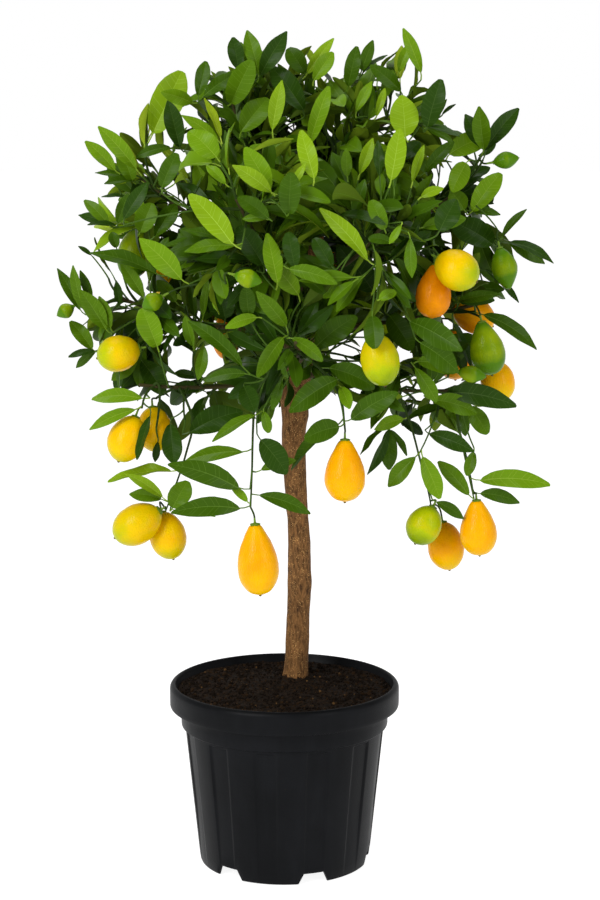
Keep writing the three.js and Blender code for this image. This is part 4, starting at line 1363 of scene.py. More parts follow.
@dataclass
class Leaf:
    """A leaf: where it sits on its twig, and which way its blade runs and faces."""

    foot: Vector
    grain: Vector  # heading of the twig at the leaf's foot
    heading: Vector
    face: Vector
    size: float
    shade: float  # place among LEAF_GREENS
    chance: Chance
    veined: bool = False  # whether its side veins are modelled

    def __post_init__(self) -> None:
        """Draws the leaf's own bends."""
        self.breadth = self.size ** 0.7 * self.chance.between(0.58, 0.92)
        self.droop = self.chance.between(0.15, 0.9)
        self.fold = self.chance.between(0.3, 1.0)
        self.sway = self.chance.about(0.24)
        self.twist = self.chance.about(1.1)
        self.phase = self.chance.between(0, 2 * math.pi)
        self.wave = self.chance.between(0.03, 0.19)
        self.slimness = self.chance.between(0.64, 1.0)


@dataclass(frozen=True)
class LeafForm:
    """Form of a leaf: a short stalk and a broad blade, folded and bent along its midrib."""

    length: float = 60  # of the blade
    half_width: float = 12.8
    stalk: float = 9
    stalk_radius: float = 0.75
    thickness: float = 0.5
    rib: float = 0.34  # half the midrib's breadth
    groove: float = 0.2  # how deep the midrib lies in the upper face
    keel: float = 0.35  # how far it stands out below
    outline: tuple = ((0.04, 0.18), (0.12, 0.47), (0.23, 0.76), (0.35, 0.94), (0.47, 1.0),
                      (0.6, 0.95), (0.73, 0.77), (0.84, 0.5), (0.93, 0.23), (0.975, 0.09))
    middles: float = 0.54  # place between the midrib and the edge where the blade bends
    cupping: float = 1.25  # how much more the blade is folded at its foot
    flare: float = 0.2  # how much its halves flatten out towards the edge
    ripples: float = 11  # turn of the edge's waves from foot to tip, in radians
    veins: int = 9  # pairs of side veins of a veined leaf
    vein_span: tuple[float, float] = (0.1, 0.88)  # places of the first and the last
    vein_sway: float = 0.25  # how unevenly they are spaced
    vein_breadth: float = 0.0042  # along the midrib
    vein_slant: float = 0.13  # how much further on a vein is at the edge

    def frame(self, leaf: Leaf, place: float) -> tuple[Vector, Vector, Vector, Vector]:
        """Bends the midrib.

        Args:
            leaf: The leaf.
            place: Place along the blade, from 0 to 1.

        Returns:
            The midrib's point, heading, side and face there.
        """
        across = leaf.face.cross(leaf.heading)
        length = self.length * leaf.size
        turn = leaf.droop * place
        ahead, down = math.sin(turn) / leaf.droop, (1 - math.cos(turn)) / leaf.droop
        at = self.blade_foot(leaf) + leaf.heading * (ahead * length) - leaf.face * (down * length)
        at = at + across * (leaf.sway * length * place * place * 0.5)
        heading = leaf.heading * math.cos(turn) - leaf.face * math.sin(turn)
        face = heading.cross(across)
        roll = leaf.twist * place
        across, face = (across * math.cos(roll) + face * math.sin(roll),
                        face * math.cos(roll) - across * math.sin(roll))
        return at, heading, across, face

    def blade_foot(self, leaf: Leaf) -> Vector:
        """Where the stalk meets the blade."""
        way = (leaf.heading + leaf.grain * 0.5).normalized()
        return leaf.foot + way * (self.stalk * leaf.size)

    def spot(self, leaf: Leaf, place: float, share: float, breadth: float) -> Vector:
        """A point of the blade.

        Args:
            leaf: The leaf.
            place: Place along the midrib, from 0 to 1.
            share: Place across, from -1 to 1.
            breadth: The blade's breadth there, as a share of its greatest.

        Returns:
            The point on the blade's middle surface.
        """
        at, _, across, face = self.frame(leaf, place)
        half = self.half_width * leaf.breadth * breadth ** leaf.slimness
        fold = leaf.fold * (self.cupping - place)
        lift = (abs(share) - self.flare * share * share) * math.sin(fold)
        side = 1 if share > 0 else -1
        ripple = leaf.wave * share * share * math.sin(place * self.ripples + leaf.phase + side)
        return at + across * (share * half * math.cos(fold)) + face * (half * (lift + ripple))

    def tip(self, leaf: Leaf) -> Vector:
        """The blade's tip."""
        return self.frame(leaf, 1)[0]

    def midrib(self, leaf: Leaf) -> list[Vector]:
        """Three points that stand for the midrib in tests of room."""
        return [self.frame(leaf, place)[0] for place in (0.2, 0.6, 1)]

    def probes(self, leaf: Leaf) -> list[Vector]:
        """Spreads points over the blade, which stand for it in tests of room.

        Args:
            leaf: The leaf.

        Returns:
            The points.
        """
        spots = [(0.08, 0, 0), (0.3, 0, 0), (0.7, 0, 0), (1, 0, 0)]
        spots += [(place, side, breadth) for place, breadth in ((0.23, 0.8), (0.5, 1), (0.78, 0.6))
                  for side in (-1, 1)]
        return [self.spot(leaf, place, share, breadth) for place, share, breadth in spots]

    def _places(self, leaf: Leaf) -> list[float]:
        """Places the rows; a veined leaf has a vein from each second row to the next.

        Args:
            leaf: The leaf.

        Returns:
            Places along the midrib.
        """
        if not leaf.veined:
            return [stop[0] for stop in self.outline]
        steps = [number + self.vein_sway * math.sin(leaf.phase + number * 2.4)
                 for number in range(self.veins)]
        starts = [mix(*self.vein_span, step / (self.veins - 1)) for step in steps]
        veins = [start + more for start in starts for more in (0, self.vein_breadth)]
        return [self.outline[0][0], *veins, self.outline[-1][0]]

    def _row(self, leaf: Leaf, place: float) -> list[Vector]:
        """The ring of points at a place: across the upper face, then back below.

        Args:
            leaf: The leaf.
            place: Place along the midrib, from 0 to 1.

        Returns:
            The points.
        """
        stops = tuple(zip(*self.outline))
        half = self.half_width * leaf.breadth * float(np.interp(place, *stops)) ** leaf.slimness
        rib = min(self.rib * leaf.size * (1.2 - place) / half, 0.3)
        middle = max(self.middles, rib + 0.1)
        slant = self.vein_slant * 4 * place * (1 - place) if leaf.veined else 0.0
        face = self.frame(leaf, place)[3]
        row = []
        for share in (1, middle, rib, -rib, -middle, -1, -middle, -rib, rib, middle):
            on = place + slant * (abs(share) - rib)
            at = self.spot(leaf, on, share, float(np.interp(on, *stops)))
            skin = 0 if abs(share) == 1 else self.thickness / 2
            if len(row) < 6:
                row.append(at + face * (skin - (self.groove if abs(share) == rib else 0)))
            else:
                row.append(at - face * (skin + (self.keel if abs(share) == rib else 0)))
        return row

    def add_to(self, shape: Shape, leaf: Leaf) -> None:
        """Adds a leaf to a shape.

        Args:
            shape: The shape, whose finishes are those of LEAF_GREENS.
            leaf: The leaf.
        """
        upper = clamp(round(leaf.shade), 0, len(LEAF_GREENS) - 1) * 3
        under, rib = upper + 1, upper + 2
        back = [under, under, rib, under, under]
        blade, vein = [upper, upper, rib, upper, upper, *back], [rib] * 5 + back
        places = self._places(leaf)
        slots = [slot for number in range(len(places) - 1)
                 for slot in (vein if leaf.veined and number % 2 else blade)]
        rows = [self._row(leaf, place) for place in places]
        shape.grid(rows, slots, ends=(self.blade_foot(leaf), self.tip(leaf)), twin=True)
        stalk = Bend(leaf.foot, leaf.foot.lerp(self.blade_foot(leaf), 0.5) + leaf.grain,
                     self.frame(leaf, 0.05)[0])
        Limb(stalk, self.stalk_radius, self.stalk_radius * 0.8).add_to(shape, 4, 2, rib)


@dataclass
class Shoot:
    """A twig of the crown, with its habit and the mass that it belongs to."""

    limb: Limb
    habit: Habit
    mass: int
    leading: bool = False
    carrier: Optional["Shoot"] = None  # the shoot that it is a side twig of
    bud: float = 0.0  # its place on that shoot
    shade: float = 0.0  # how much lighter or darker its leaves are than its mass's
    used: float = 0.0  # place of the last thing that it carries

    def use(self, place: float) -> None:
        """Notes that it carries something, and so does what carries it.

        Args:
            place: Where along it.
        """
        self.used = max(self.used, place)
        if self.carrier:
            self.carrier.use(self.bud)


@dataclass
class Stage:
    """Space that one mass keeps to: its reach, and flat walls towards its neighbours."""

    middle: Vector
    reach: Vector
    walls: list[tuple[Vector, float]]

    def holds(self, point: Vector) -> bool:
        """Whether a point lies on this mass's side of its walls."""
        return all(way.dot(point) < limit for way, limit in self.walls)

    def depth(self, point: Vector) -> float:
        """Distance of a point from the middle, where 1 is the mass's full reach.

        Args:
            point: The point.

        Returns:
            The distance.
        """
        away = point - self.middle
        return Vector((away.x / self.reach.x, away.y / self.reach.y,
                       away.z / self.reach.z)).length


class FruitRoom:
    """The room that the fruit takes up, and the views of it that leaves leave open."""

    openness = 0.85  # share of a fruit's breadth that no leaf hides
    before = 90  # how far in front of a fruit a leaf still hides it

    def __init__(self, fruits: Sequence[Fruit], eye: Vector, heart: Vector) -> None:
        """Notes where each fruit hangs.

        Args:
            fruits: All the fruit.
            eye: Where the plant is seen from at the front.
            heart: Middle of the crown.
        """
        self.middles = np.array([fruit.middle for fruit in fruits])
        self.downs = np.array([tuple(fruit.down) for fruit in fruits])
        self.halves = np.array([(fruit.width / 2, fruit.length / 2) for fruit in fruits])
        middles = [(fruit.shown, Vector(fruit.middle)) for fruit in fruits]
        self.views = np.array([tuple((eye - middle if shown else middle - heart).normalized())
                               for shown, middle in middles])

    def _offsets(self, points: Sequence[Vector]) -> np.ndarray:
        """The way to each point from each fruit's middle."""
        return np.array([tuple(point) for point in points])[:, None] - self.middles

    def _near(self, offsets: np.ndarray, growth: np.ndarray) -> np.ndarray:
        """Finds the offsets that lie within the fruits' grown outlines.

        Args:
            offsets: The way to each point from each fruit's middle.
            growth: How much wider each fruit is taken.

        Returns:
            Whether each offset does.
        """
        along = np.einsum("ijk,jk->ij", offsets, self.downs)
        around = np.linalg.norm(offsets - along[..., None] * self.downs, axis=2)
        across, length = self.halves[:, 0] + growth, self.halves[:, 1] + growth
        return (around / across) ** 2 + (along / length) ** 2 < 1

    def blocks(self, points: Sequence[Vector], gap: float) -> bool:
        """Whether any point lies in a fruit, or closer to it than a gap."""
        return bool(self._near(self._offsets(points), np.full(len(self.halves), gap)).any())

    def hidden(self, points: Sequence[Vector]) -> bool:
        """Looks for a point that hangs in front of a fruit that shows.

        Args:
            points: The points.

        Returns:
            Whether there is one.
        """
        offsets = self._offsets(points)
        ahead = np.einsum("ijk,jk->ij", offsets, self.views)
        flat = offsets - ahead[..., None] * self.views
        covered = self._near(flat, self.halves[:, 0] * (self.openness - 1))
        return bool((covered & (ahead > 0) & (ahead < self.before)).any())


class OpenViews:
    """The views from the front that the growing leaves leave open."""

    before = (-110.0, -1.0)  # depths from a leaf's midrib at which a point hides it
    across = (-110.0, 3.0)  # depths at which a twig shows across its blade
    span = (0.12, 0.94)  # stretch of a leaf, from its foot to its tip, that is kept open
    core = 0.8  # share of its breadth that is
    steps = 16  # stretches that a twig's line is looked at in

    def __init__(self, studio: "Studio") -> None:
        """Starts with the crown's outline and its gaps.

        Args:
            studio: The studio, with the camera that sees them.
        """
        self.studio = studio
        self.outline = np.array(OUTLINE, dtype=float)
        self.sky = np.array(SKY, dtype=float)
        self.leaves = np.empty((0, 7))  # foot, way to the tip and half breadth of each
        self.twigs = np.empty((0, 3))

    def keep(self, foot: Vector, tip: Vector, half: float) -> None:
        """Keeps the view of a leaf open, from its foot to its tip, a half breadth wide."""
        start, end = self.studio.pixels((foot, tip))
        self.leaves = np.vstack((self.leaves, (*start, *(end - start), half)))

    def spoil(self, points: Sequence[Vector]) -> bool:
        """Whether any point hides a leaf that shows, or lies in the open sky."""
        return self.gaps(points) or self._hides(self.studio.pixels(points))

    def course(self, line: Line, first: float, last: float) -> np.ndarray:
        """Where the camera sees a stretch of a twig's line."""
        return self.studio.pixels([line.point(mix(first, last, share))
                                   for share in evenly(self.steps)])

    def lay(self, line: Line, first: float, last: float) -> None:
        """Takes in a stretch of a twig's line, for the leaves to keep in front of."""
        self.twigs = np.vstack((self.twigs, self.course(line, first, last)))

    def crosses(self, line: Line, first: float, last: float) -> bool:
        """Whether a stretch of a twig's line shows across a leaf that shows."""
        return self._hides(self.course(line, first, last), self.across)

    def crossed(self, foot: Vector, tip: Vector, half: float) -> bool:
        """Whether a twig shows across a leaf between two places, a half breadth wide."""
        start, end = self.studio.pixels((foot, tip))
        return self._hides(self.twigs, self.across, np.array([[*start, *(end - start), half]]))

    def gaps(self, points: Sequence[Vector]) -> bool:
        """Looks for a point in the open sky, round the crown or within it.

        Args:
            points: The points.

        Returns:
            Whether there is one.
        """
        seen = self.studio.pixels(points)
        offsets = (seen[:, None, :2] - self.sky[:, :2]) / self.sky[:, 2:]
        if (np.einsum("ijk,ijk->ij", offsets, offsets) < 1).any():
            return True
        return not self._inside(seen).all()

    def _inside(self, seen: np.ndarray) -> np.ndarray:
        """Finds the seen points that lie inside the crown's outline.

        Args:
            seen: Pixels across and down to each point.

        Returns:
            Whether each does.
        """
        low, high = self.outline, np.roll(self.outline, -1, axis=0)
        across, down = seen[:, None, 0], seen[:, None, 1]
        spans = (low[:, 1] > down) != (high[:, 1] > down)
        rise = np.where(high[:, 1] == low[:, 1], 1, high[:, 1] - low[:, 1])
        crossing = low[:, 0] + (down - low[:, 1]) * (high[:, 0] - low[:, 0]) / rise
        return (spans & (across < crossing)).sum(axis=1) % 2 == 1

    def _hides(self, seen: np.ndarray, depths: tuple[float, float] = before,
               leaves: Optional[np.ndarray] = None) -> bool:
        """Looks for a seen point that lies over a leaf that shows.

        Args:
            seen: Pixels across and down to each point, and its distance.
            depths: Between which distances from the leaf it counts.
            leaves: The leaves, or none for all that are kept.

        Returns:
            Whether there is one.
        """
        leaves = self.leaves if leaves is None else leaves
        feet, ways, halves = leaves[:, :3], leaves[:, 3:6], leaves[:, 6]
        offsets = seen[:, None] - feet
        run = np.einsum("ij,ij->i", ways[:, :2], ways[:, :2])
        share = np.einsum("ijk,jk->ij", offsets[..., :2], ways[:, :2]) / run
        place = np.clip(share, *self.span)
        gap = offsets - place[..., None] * ways
        off = np.linalg.norm(gap[..., :2], axis=2)
        within = (gap[..., 2] > depths[0]) & (gap[..., 2] < depths[1])
        return bool(((off < halves * self.core) & within).any())


@dataclass
class Crown:
    """Grows the woody frame, the twigs, the leaves and the fruit by one rule."""

    heart: Vector = field(default_factory=lambda: Vector((18, 8, 540)))
    trunk: Trunk = field(default_factory=Trunk)
    leaf_form: LeafForm = LeafForm()
    far_fruit: FarFruit = FarFruit()

    bough_radii: tuple[float, float] = (4.5, 2.2)
    bough_entry: float = 0.62  # how deep a bough's tip lies in its mass
    bough_least: float = 0.1
    bough_lift: float = 0.55
    bough_rise: float = 6
    stem_share: float = 0.92  # of the bough's tip radius
    stem_tip: float = 1.6
    stem_knee: float = 0.6
    stem_reach: float = 0.42
    first_bud: float = 0.1
    clearance: float = 0.3
    farthest: float = 1.02  # depth in its mass up to which a leaf's tip may reach

    shallow: float = 0.34
    deep: float = 0.8
    level_below: float = -0.2
    high_tier: int = 3
    denser: float = 3.2  # shoots for each one of the solids
    shoot_radii: tuple[float, float] = (1.5, 0.8)
    side_twigs: int = 4
    side_length: tuple[float, float] = (22, 44)
    side_angle: float = 48
    side_radii: tuple[float, float] = (1.0, 0.6)
    side_start: tuple[float, float] = (0.5, 1.2)  # where each twig's stretch of the shoot it sits
    side_bend: float = 0.12
    hanger_arch: float = 6  # height of the bend over a hanging shoot's first pixel

    leaf_gaps: tuple = (0, 4, 9, 15, 22, 30, 39, 49, 60, 72, 85)  # from the tip down
    tries: int = 4  # sides of its twig that a leaf is tried on
    next_side: float = 97  # degrees from one of them to the next
    light_shoots: tuple[float, float] = (0.05, 0.18)  # share of them in front and behind
    light_shade: float = 1.9
    darker: float = 0.3  # how much darker the other shoots are on the whole
    shade_spread: tuple[float, float, float] = (1.4, 0.8, 1.1)  # of shoots, side twigs, leaves
    painted_light_from: float = 0.75  # depth in its mass from which a leaf is painted lighter; short of it, a leaf is painted darker as painted shade
    painted_light: float = 1.8
    tip_from: float = 0.7  # share of the leafy stretch from which a leaf is lighter
    tip_light: float = 2
    leafy: float = 0.9  # share of a shoot that bears leaves
    leafy_least: float = 30
    turn: float = 137.5
    turn_spread: float = 34
    wide: float = 56  # angle between the lowest leaf of a shoot and the shoot
    close: float = 16  # the same at its tip
    angle_spread: float = 30
    sag: float = 0.3
    lift: float = 0.22  # how much the leaves of a rising shoot turn up
    face_out: float = 0.6
    face_along: float = 0.2
    face_up: float = 0.5
    face_chance: float = 3
    smallest: float = 0.66
    size_spread: float = 0.5
    veined_from: float = 0.7  # depth in its mass from which a leaf's side veins are modelled
    young: float = 0.34  # how much smaller the leaf at the tip is
    spacing: float = 4.6  # between the midribs of two leaves
    placed_spacing: float = 2.2
    placed_room: float = 3.2  # how much further from a placed leaf's midrib others keep
    wood_gap: float = 3
    wood_links: tuple[int, int] = (4, 16)  # straight stretches that stand for a bough, the trunk
    fruit_gap: float = 1.5
    tuck: float = 9  # by how much a fruit that would show in a gap is lifted at a time
    tucks: int = 8

    stalk_length: float = 6
    stalk_radii: tuple[float, float] = (0.9, 1.25)
    stalk_tries: int = 15
    stalk_places: tuple[float, float] = (0.2, 1.0)
    stalk_climb: float = 1.2  # how much a start below the fruit is shunned

    tilts: tuple = (0, -0.2, 0.2, -0.45, 0.45, -0.7)  # towards or from the viewer, by length
    twig_radii: tuple[float, float] = (0.9, 0.7)
    front_bias: float = 0.12  # how much a twig nearer to the viewer is preferred
    spray_tries: int = 30
    spray_steps: int = 12  # places along a shoot that its twigs may leave from
    spray_slant: float = 0.7  # how much before the nearest place a twig leaves its shoot
    leaf_step: float = 2.5  # between the feet of a spray's leaves
    seen_share: float = 0.92  # of a blade's breadth, as its fold lets it be seen
    seen_least: float = 0.66  # breadth of a placed leaf as a share of its length, at the least
    slim_from: float = 0.42  # the longer a leaf is than this, by breadths, the less slim its ends
    slimmest: float = 0.76
    arch: float = 0.55  # sideways bend of a leaf that the camera sees lying level
    calm: tuple[float, float, float] = (0.6, 0.3, 0.75)  # droop, twist and fold of a placed leaf

    def __post_init__(self) -> None:
        """Grows everything, from the trunk to the leaves."""
        self.studio = Studio()
        self.views = OpenViews(self.studio)
        self.fruits = [*FRUITS, *map(self._tucked, self.far_fruit.deal())]
        self.room = FruitRoom(self.fruits, self.studio.eye / MILLIMETRE, self.heart)
        self.stages = [self._stage(mass) for mass in MASSES]
        self.boughs: list[Bough] = []
        self.stems = [self._stem(mass) for mass in MASSES]
        self.wood = Crowd()
        for limb in (self.trunk, *self.boughs):
            for foot, tip, radius in limb.links(self.wood_links[limb is self.trunk]):
                self.wood.take(foot, tip, radius=radius)
        self.shoots: list[Shoot] = []
        for number in range(len(MASSES)):
            self._grow_shoots(number)
        for depth, course in HANGERS:
            self._grow_hanger(depth, course)
        self.stalks = [limb for fruit in self.fruits for limb in self._stalk(fruit)]
        self.leaves: list[list[Leaf]] = [[] for _ in MASSES]
        taken = Crowd()
        for limb in [*self.stalks, *self.stems]:
            self.views.lay(limb.line, 0, 1)
        self._place_sprays(taken)
        self._grow_leaves(taken)

    def _tucked(self, fruit: Fruit) -> Fruit:
        """Lifts a fruit of the far side until it shows in no gap in front.

        Args:
            fruit: The fruit.

        Returns:
            The fruit at its new height.
        """
        half = Vector((fruit.width / 2, 0, 0))
        for _ in range(self.tucks):
            edges = [Vector(fruit.middle) + half, Vector(fruit.middle) - half]
            spots = [*edges, *(fruit.along(place) for place in evenly(4))]
            if not self.views.gaps(spots):
                break
            fruit = replace(fruit, middle=(*fruit.middle[:2], fruit.middle[2] + self.tuck))
        return fruit

    def _stage(self, mass: Mass) -> Stage:
        """Walls a mass off from its neighbours.

        Args:
            mass: The mass.

        Returns:
            The space that it keeps to.
        """
        middle, reach, walls = Vector(mass.middle), Vector(mass.reach), []
        for other in MASSES:
            if other is mass:
                continue
            apart = Vector(other.middle) - middle
            if other.tier == mass.tier:
                apart.z = 0
            way = apart.normalized()
            own, theirs = (stretched(way, one.reach).length for one in (mass, other))
            share = own / (own + theirs)
            walls.append((way, way.dot(middle) + apart.length * share - self.clearance))
        return Stage(middle, reach, walls)

    def _stem(self, mass: Mass) -> Limb:
        """Grows a mass's bough, where it has one, and the stem inside the mass.

        Args:
            mass: The mass.

        Returns:
            The stem, which goes on from the bough or from the trunk.
        """
        stage = self.stages[MASSES.index(mass)]
        middle, reach = stage.middle, stage.reach
        if mass.fork >= self.trunk.stations[-1][2]:
            carrier = self.trunk
        else:
            root = self.trunk.line.point(self.trunk.place_at(mass.fork))
            part = min(self.bough_entry / stage.depth(root), 1 - self.bough_least)
            entry = middle.lerp(root, part)
            bend = root.lerp(entry, 0.5)
            bend.z = mix(root.z, entry.z, (1 + self.bough_lift) / 2)
            bend.z = max(bend.z, root.z + self.bough_rise)
            carrier = Bough(Bend(root, bend, entry), *self.bough_radii)
            self.boughs.append(carrier)
        start, heading = carrier.line.point(1), carrier.line.heading(1)
        way = (middle - start).normalized()
        onward = stretched(way, reach) * self.stem_reach
        knee = start + heading * ((middle - start).length * self.stem_knee)
        line = Bend(start, knee, middle + onward)
        return Limb(line, carrier.radius(1) * self.stem_share, self.stem_tip)

    def _tips(self, number: int) -> Iterator[tuple[Vector, Habit, bool]]:
        """Spreads the tips of a mass's shoots over it.

        Args:
            number: The mass's number.

        Returns:
            Each shoot's tip, its habit, and whether it leads.
        """
        mass, stage = MASSES[number], self.stages[number]
        for tip, habit in LEADERS:
            if stage.holds(Vector(tip)):
                yield Vector(tip), habit, True
        chance = Seed.TIPS.chance(number)
        phase, count = chance() * 2 * math.pi, round(mass.shoots * self.denser)
        for shoot in range(count):
            height = 1 - 2 * (shoot + 0.5) / count
            around = phase + shoot * GOLDEN_ANGLE
            level = math.sqrt(1 - height * height)
            way = Vector((level * math.cos(around), level * math.sin(around), height))
            depth = chance.between(self.shallow, self.deep)
            tip = stage.middle + stretched(way, stage.reach) * depth
            low = height <= self.level_below and mass.tier < self.high_tier
            if stage.holds(tip):
                yield tip, Habit.LEVEL if low else Habit.RISING, False

    def _grow_shoots(self, number: int) -> None:
        """Grows the shoots of a mass along its stem, and the side twigs on them.

        Args:
            number: The mass's number.
        """
        stem, chance = self.stems[number], Seed.SHOOTS.chance(number)
        foot = stem.line.point(0)
        run = stem.line.point(1) - foot
        tips = sorted(self._tips(number), key=lambda one: (one[0] - foot).dot(run))
        for rank, (tip, habit, leading) in enumerate(tips):
            place = mix(self.first_bud, 1, (rank + 0.5) / len(tips))
            bud, heading = stem.line.point(place), stem.line.heading(place)
            length = (tip - bud).length
            pull = bud.lerp(tip, 0.5) + heading * (length * habit.ahead)
            pull.z += length * habit.lift
            limb = Limb(Bend(bud, pull, tip), *self.shoot_radii)
            shoot = Shoot(limb, habit, number, leading)
            light = chance() < self.light_shoots[tip.y > 0]
            shoot.shade = (self.light_shade if light
                           else chance.about(self.shade_spread[0]) - self.darker)
            if not self._has_room(shoot):
                continue
            self.shoots.append(shoot)
            self._grow_side_twigs(shoot, chance)

    def _grow_hanger(self, depth: float, course: Sequence[Pixel]) -> None:
        """Grows a shoot that hangs from the nearest stem.

        Args:
            depth: How deep it hangs.
            course: The pixels that it runs down through.
        """
        points = [self.studio.spot(*pixel, depth) for pixel in course]
        places = [(number, place / 10) for number in range(len(MASSES)) for place in range(3, 11)]
        number, place = min(places, key=lambda one: (
            self.stems[one[0]].line.point(one[1]) - points[0]).length)
        bud = self.stems[number].line.point(place)
        line = Thread([bud, bud.lerp(points[0], 0.6) + Vector((0, 0, self.hanger_arch)), *points])
        self.shoots.append(Shoot(Limb(line, *self.shoot_radii), Habit.HANGING, number))

    def _has_room(self, shoot: Shoot) -> bool:
        """Looks whether a shoot keeps clear of the fruit and, past its foot, of the wood.

        Args:
            shoot: The shoot.

        Returns:
            Whether it does.
        """
        points = [link[1] for link in shoot.limb.links(4)]
        clear = not self.room.blocks(points, self.fruit_gap + 1)
        return clear and self.wood.nearest(*points) > self.shoot_radii[0]

    def _grow_side_twigs(self, shoot: Shoot, chance: Chance) -> None:
        """Grows short twigs to the sides of a shoot.

        Args:
            shoot: The shoot.
            chance: Source of their places and lengths.
        """
        around = chance.between(0, 360)
        for twig in range(self.side_twigs):
            place = (twig + chance.between(*self.side_start)) / (self.side_twigs + 1)
            bud, grain = shoot.limb.line.point(place), shoot.limb.line.heading(place)
            way = self._aside(grain, around + twig * self.turn, self.side_angle)
            way.z += shoot.habit.side_lift
            length = chance.between(*self.side_length)
            tip = bud + way.normalized() * length
            if not self.stages[shoot.mass].holds(tip):
                continue
            line = Bend(bud, bud.lerp(tip, 0.5) + grain * (length * self.side_bend), tip)
            side = Shoot(Limb(line, *self.side_radii), shoot.habit, shoot.mass, False, shoot,
                         place, shoot.shade + chance.about(self.shade_spread[1]))
            if self._has_room(side):
                self.shoots.append(side)

    def _aside(self, grain: Vector, turn: float, angle: float) -> Vector:
        """Turns a way out from a grain.

        Args:
            grain: A unit vector.
            turn: Turn round it in degrees.
            angle: Angle to it in degrees.

        Returns:
            The unit vector.
        """
        side = without(Vector((0, 0, 1)), grain)
        if side.length_squared < 0.01:
            side = without(Vector((1, 0, 0)), grain)
        side.normalize()
        turn, angle = math.radians(turn), math.radians(angle)
        aside = side * math.cos(turn) + grain.cross(side) * math.sin(turn)
        return grain * math.cos(angle) + aside * math.sin(angle)

    def _buds(self, shoot: Shoot) -> Iterator[tuple[float, float]]:
        """Spaces the leaves out along a shoot.

        Args:
            shoot: The shoot.

        Returns:
            Place of each leaf, and how far up the leafy stretch it is.
        """
        length = shoot.limb.length()
        gaps = [gap for gap in self.leaf_gaps if gap <= length * self.leafy]
        for gap in gaps:
            yield 1 - gap / length, 1 - gap / max(gaps[-1], self.leafy_least)

    def _leaf(self, shoot: Shoot, place: float, rise: float, turn: float, chance: Chance) -> Leaf:
        """One leaf of a shoot.

        Args:
            shoot: The shoot.
            place: The leaf's place along it.
            rise: Share of the leafy stretch that lies below the leaf.
            turn: Turn round the shoot in degrees.
            chance: Source of the leaf's own sway.

        Returns:
            The leaf.
        """
        line = shoot.limb.line
        foot, grain = line.point(place), line.heading(place)
        turn += chance.about(self.turn_spread)
        angle = mix(self.wide, self.close, rise) + chance.about(self.angle_spread)
        heading = self._aside(grain, turn, angle)
        heading.z -= shoot.habit.droop + chance() * self.sag
        heading.z += self.lift if shoot.habit is Habit.RISING else 0
        heading.normalize()
        face = foot - self.heart
        face.z = max(face.z, 0)
        face = face.normalized() * self.face_out + grain * self.face_along
        face += Vector((chance.about(self.face_chance), chance.about(self.face_chance),
                        self.face_up))
        face = without(face, heading).normalized()
        size = (self.smallest + chance() * self.size_spread) * (1 - self.young * rise ** 3)
        mass = MASSES[shoot.mass]
        depth = self.stages[shoot.mass].depth(foot)
        shade = mass.shade + shoot.shade + chance.about(self.shade_spread[2])
        shade += max(rise - self.tip_from, 0) * self.tip_light
        # Painted shade and light: a leaf deep in its mass takes a darker green, one near its outside a
        # lighter one.
        shade += (depth - self.painted_light_from) * self.painted_light
        return Leaf(foot, grain, heading, face, size, shade, chance, depth > self.veined_from)

    def _grow_leaves(self, taken: Crowd) -> None:
        """Grows the leaves of all shoots, those of the leading shoots first.

        Args:
            taken: The midribs of the leaves that are there already.
        """
        order = [pair for pair in enumerate(self.shoots) if pair[1].habit is not Habit.HANGING]
        order.sort(key=lambda pair: (not pair[1].leading, pair[1].carrier is not None))
        for rank, shoot in order:
            if shoot.carrier and not shoot.carrier.used:
                continue
            last = shoot.used if self.views.crosses(shoot.limb.line, shoot.used, 1) else 1
            chance = Seed.LEAVES.chance(rank)
            first_turn = chance.between(0, 360)
            for number, (place, rise) in enumerate(self._buds(shoot)):
                if place > last:
                    continue
                turn, seed = first_turn + number * self.turn, int(chance() * WORD)
                for side in range(self.tries):
                    leaf = self._leaf(shoot, place, rise, turn + side * self.next_side,
                                      Chance(seed + side))
                    if self._leaf_fits(leaf, shoot, taken):
                        self.leaves[shoot.mass].append(leaf)
                        shoot.use(place)
                        break

    def _place_sprays(self, taken: Crowd) -> None:
        """Sets the leaves of SPRAYS where the photograph shows them, on the nearest twigs.

        Args:
            taken: Takes in their midribs.
        """
        carriers = [shoot for shoot in self.shoots if not shoot.carrier]
        spots = [(shoot, place, shoot.limb.line.point(place))
                 for shoot in carriers for place in evenly(self.spray_steps)[3:]]
        points = np.array([tuple(spot[2]) for spot in spots])
        for number, spray in enumerate(SPRAYS):
            chance = Seed.SPRAYS.chance(number)
            near = self.studio.spot(*spray.foot, -200)
            ray = (self.studio.spot(*spray.foot, 0) - near).normalized()
            offsets = points - np.array(near)
            along = offsets @ np.array(ray)
            gaps = np.linalg.norm(offsets - along[:, None] * np.array(ray), axis=1)
            ranks = np.argsort(gaps + along * self.front_bias)[:self.spray_tries]
            twigs = [self._spray_twig(*spots[rank][:2], near + ray * float(along[rank]))
                     for rank in ranks]
            shoot = next((twig for twig in twigs if not self._spoils(twig, spray)), twigs[0])
            self.shoots.append(shoot)
            foot, grain = shoot.limb.line.point(1), shoot.limb.line.heading(1)
            stretches = ((shoot, 0, 1), (shoot.carrier, shoot.carrier.used, shoot.bud))
            for order, (across, down, breadth, shade) in enumerate(spray.leaves):
                at = foot - grain * (order * self.leaf_step)
                leaf = self._seen_leaf(at, grain, (across, down), breadth, shade, chance, taken)
                if leaf:
                    self.leaves[shoot.mass].append(leaf)
                    shoot.use(1)
                else:
                    log.info("no room for the leaf to %d, %d", across, down)
            for limb, first, last in stretches:
                if limb.used and last > first:
                    self.views.lay(limb.limb.line, first, last)

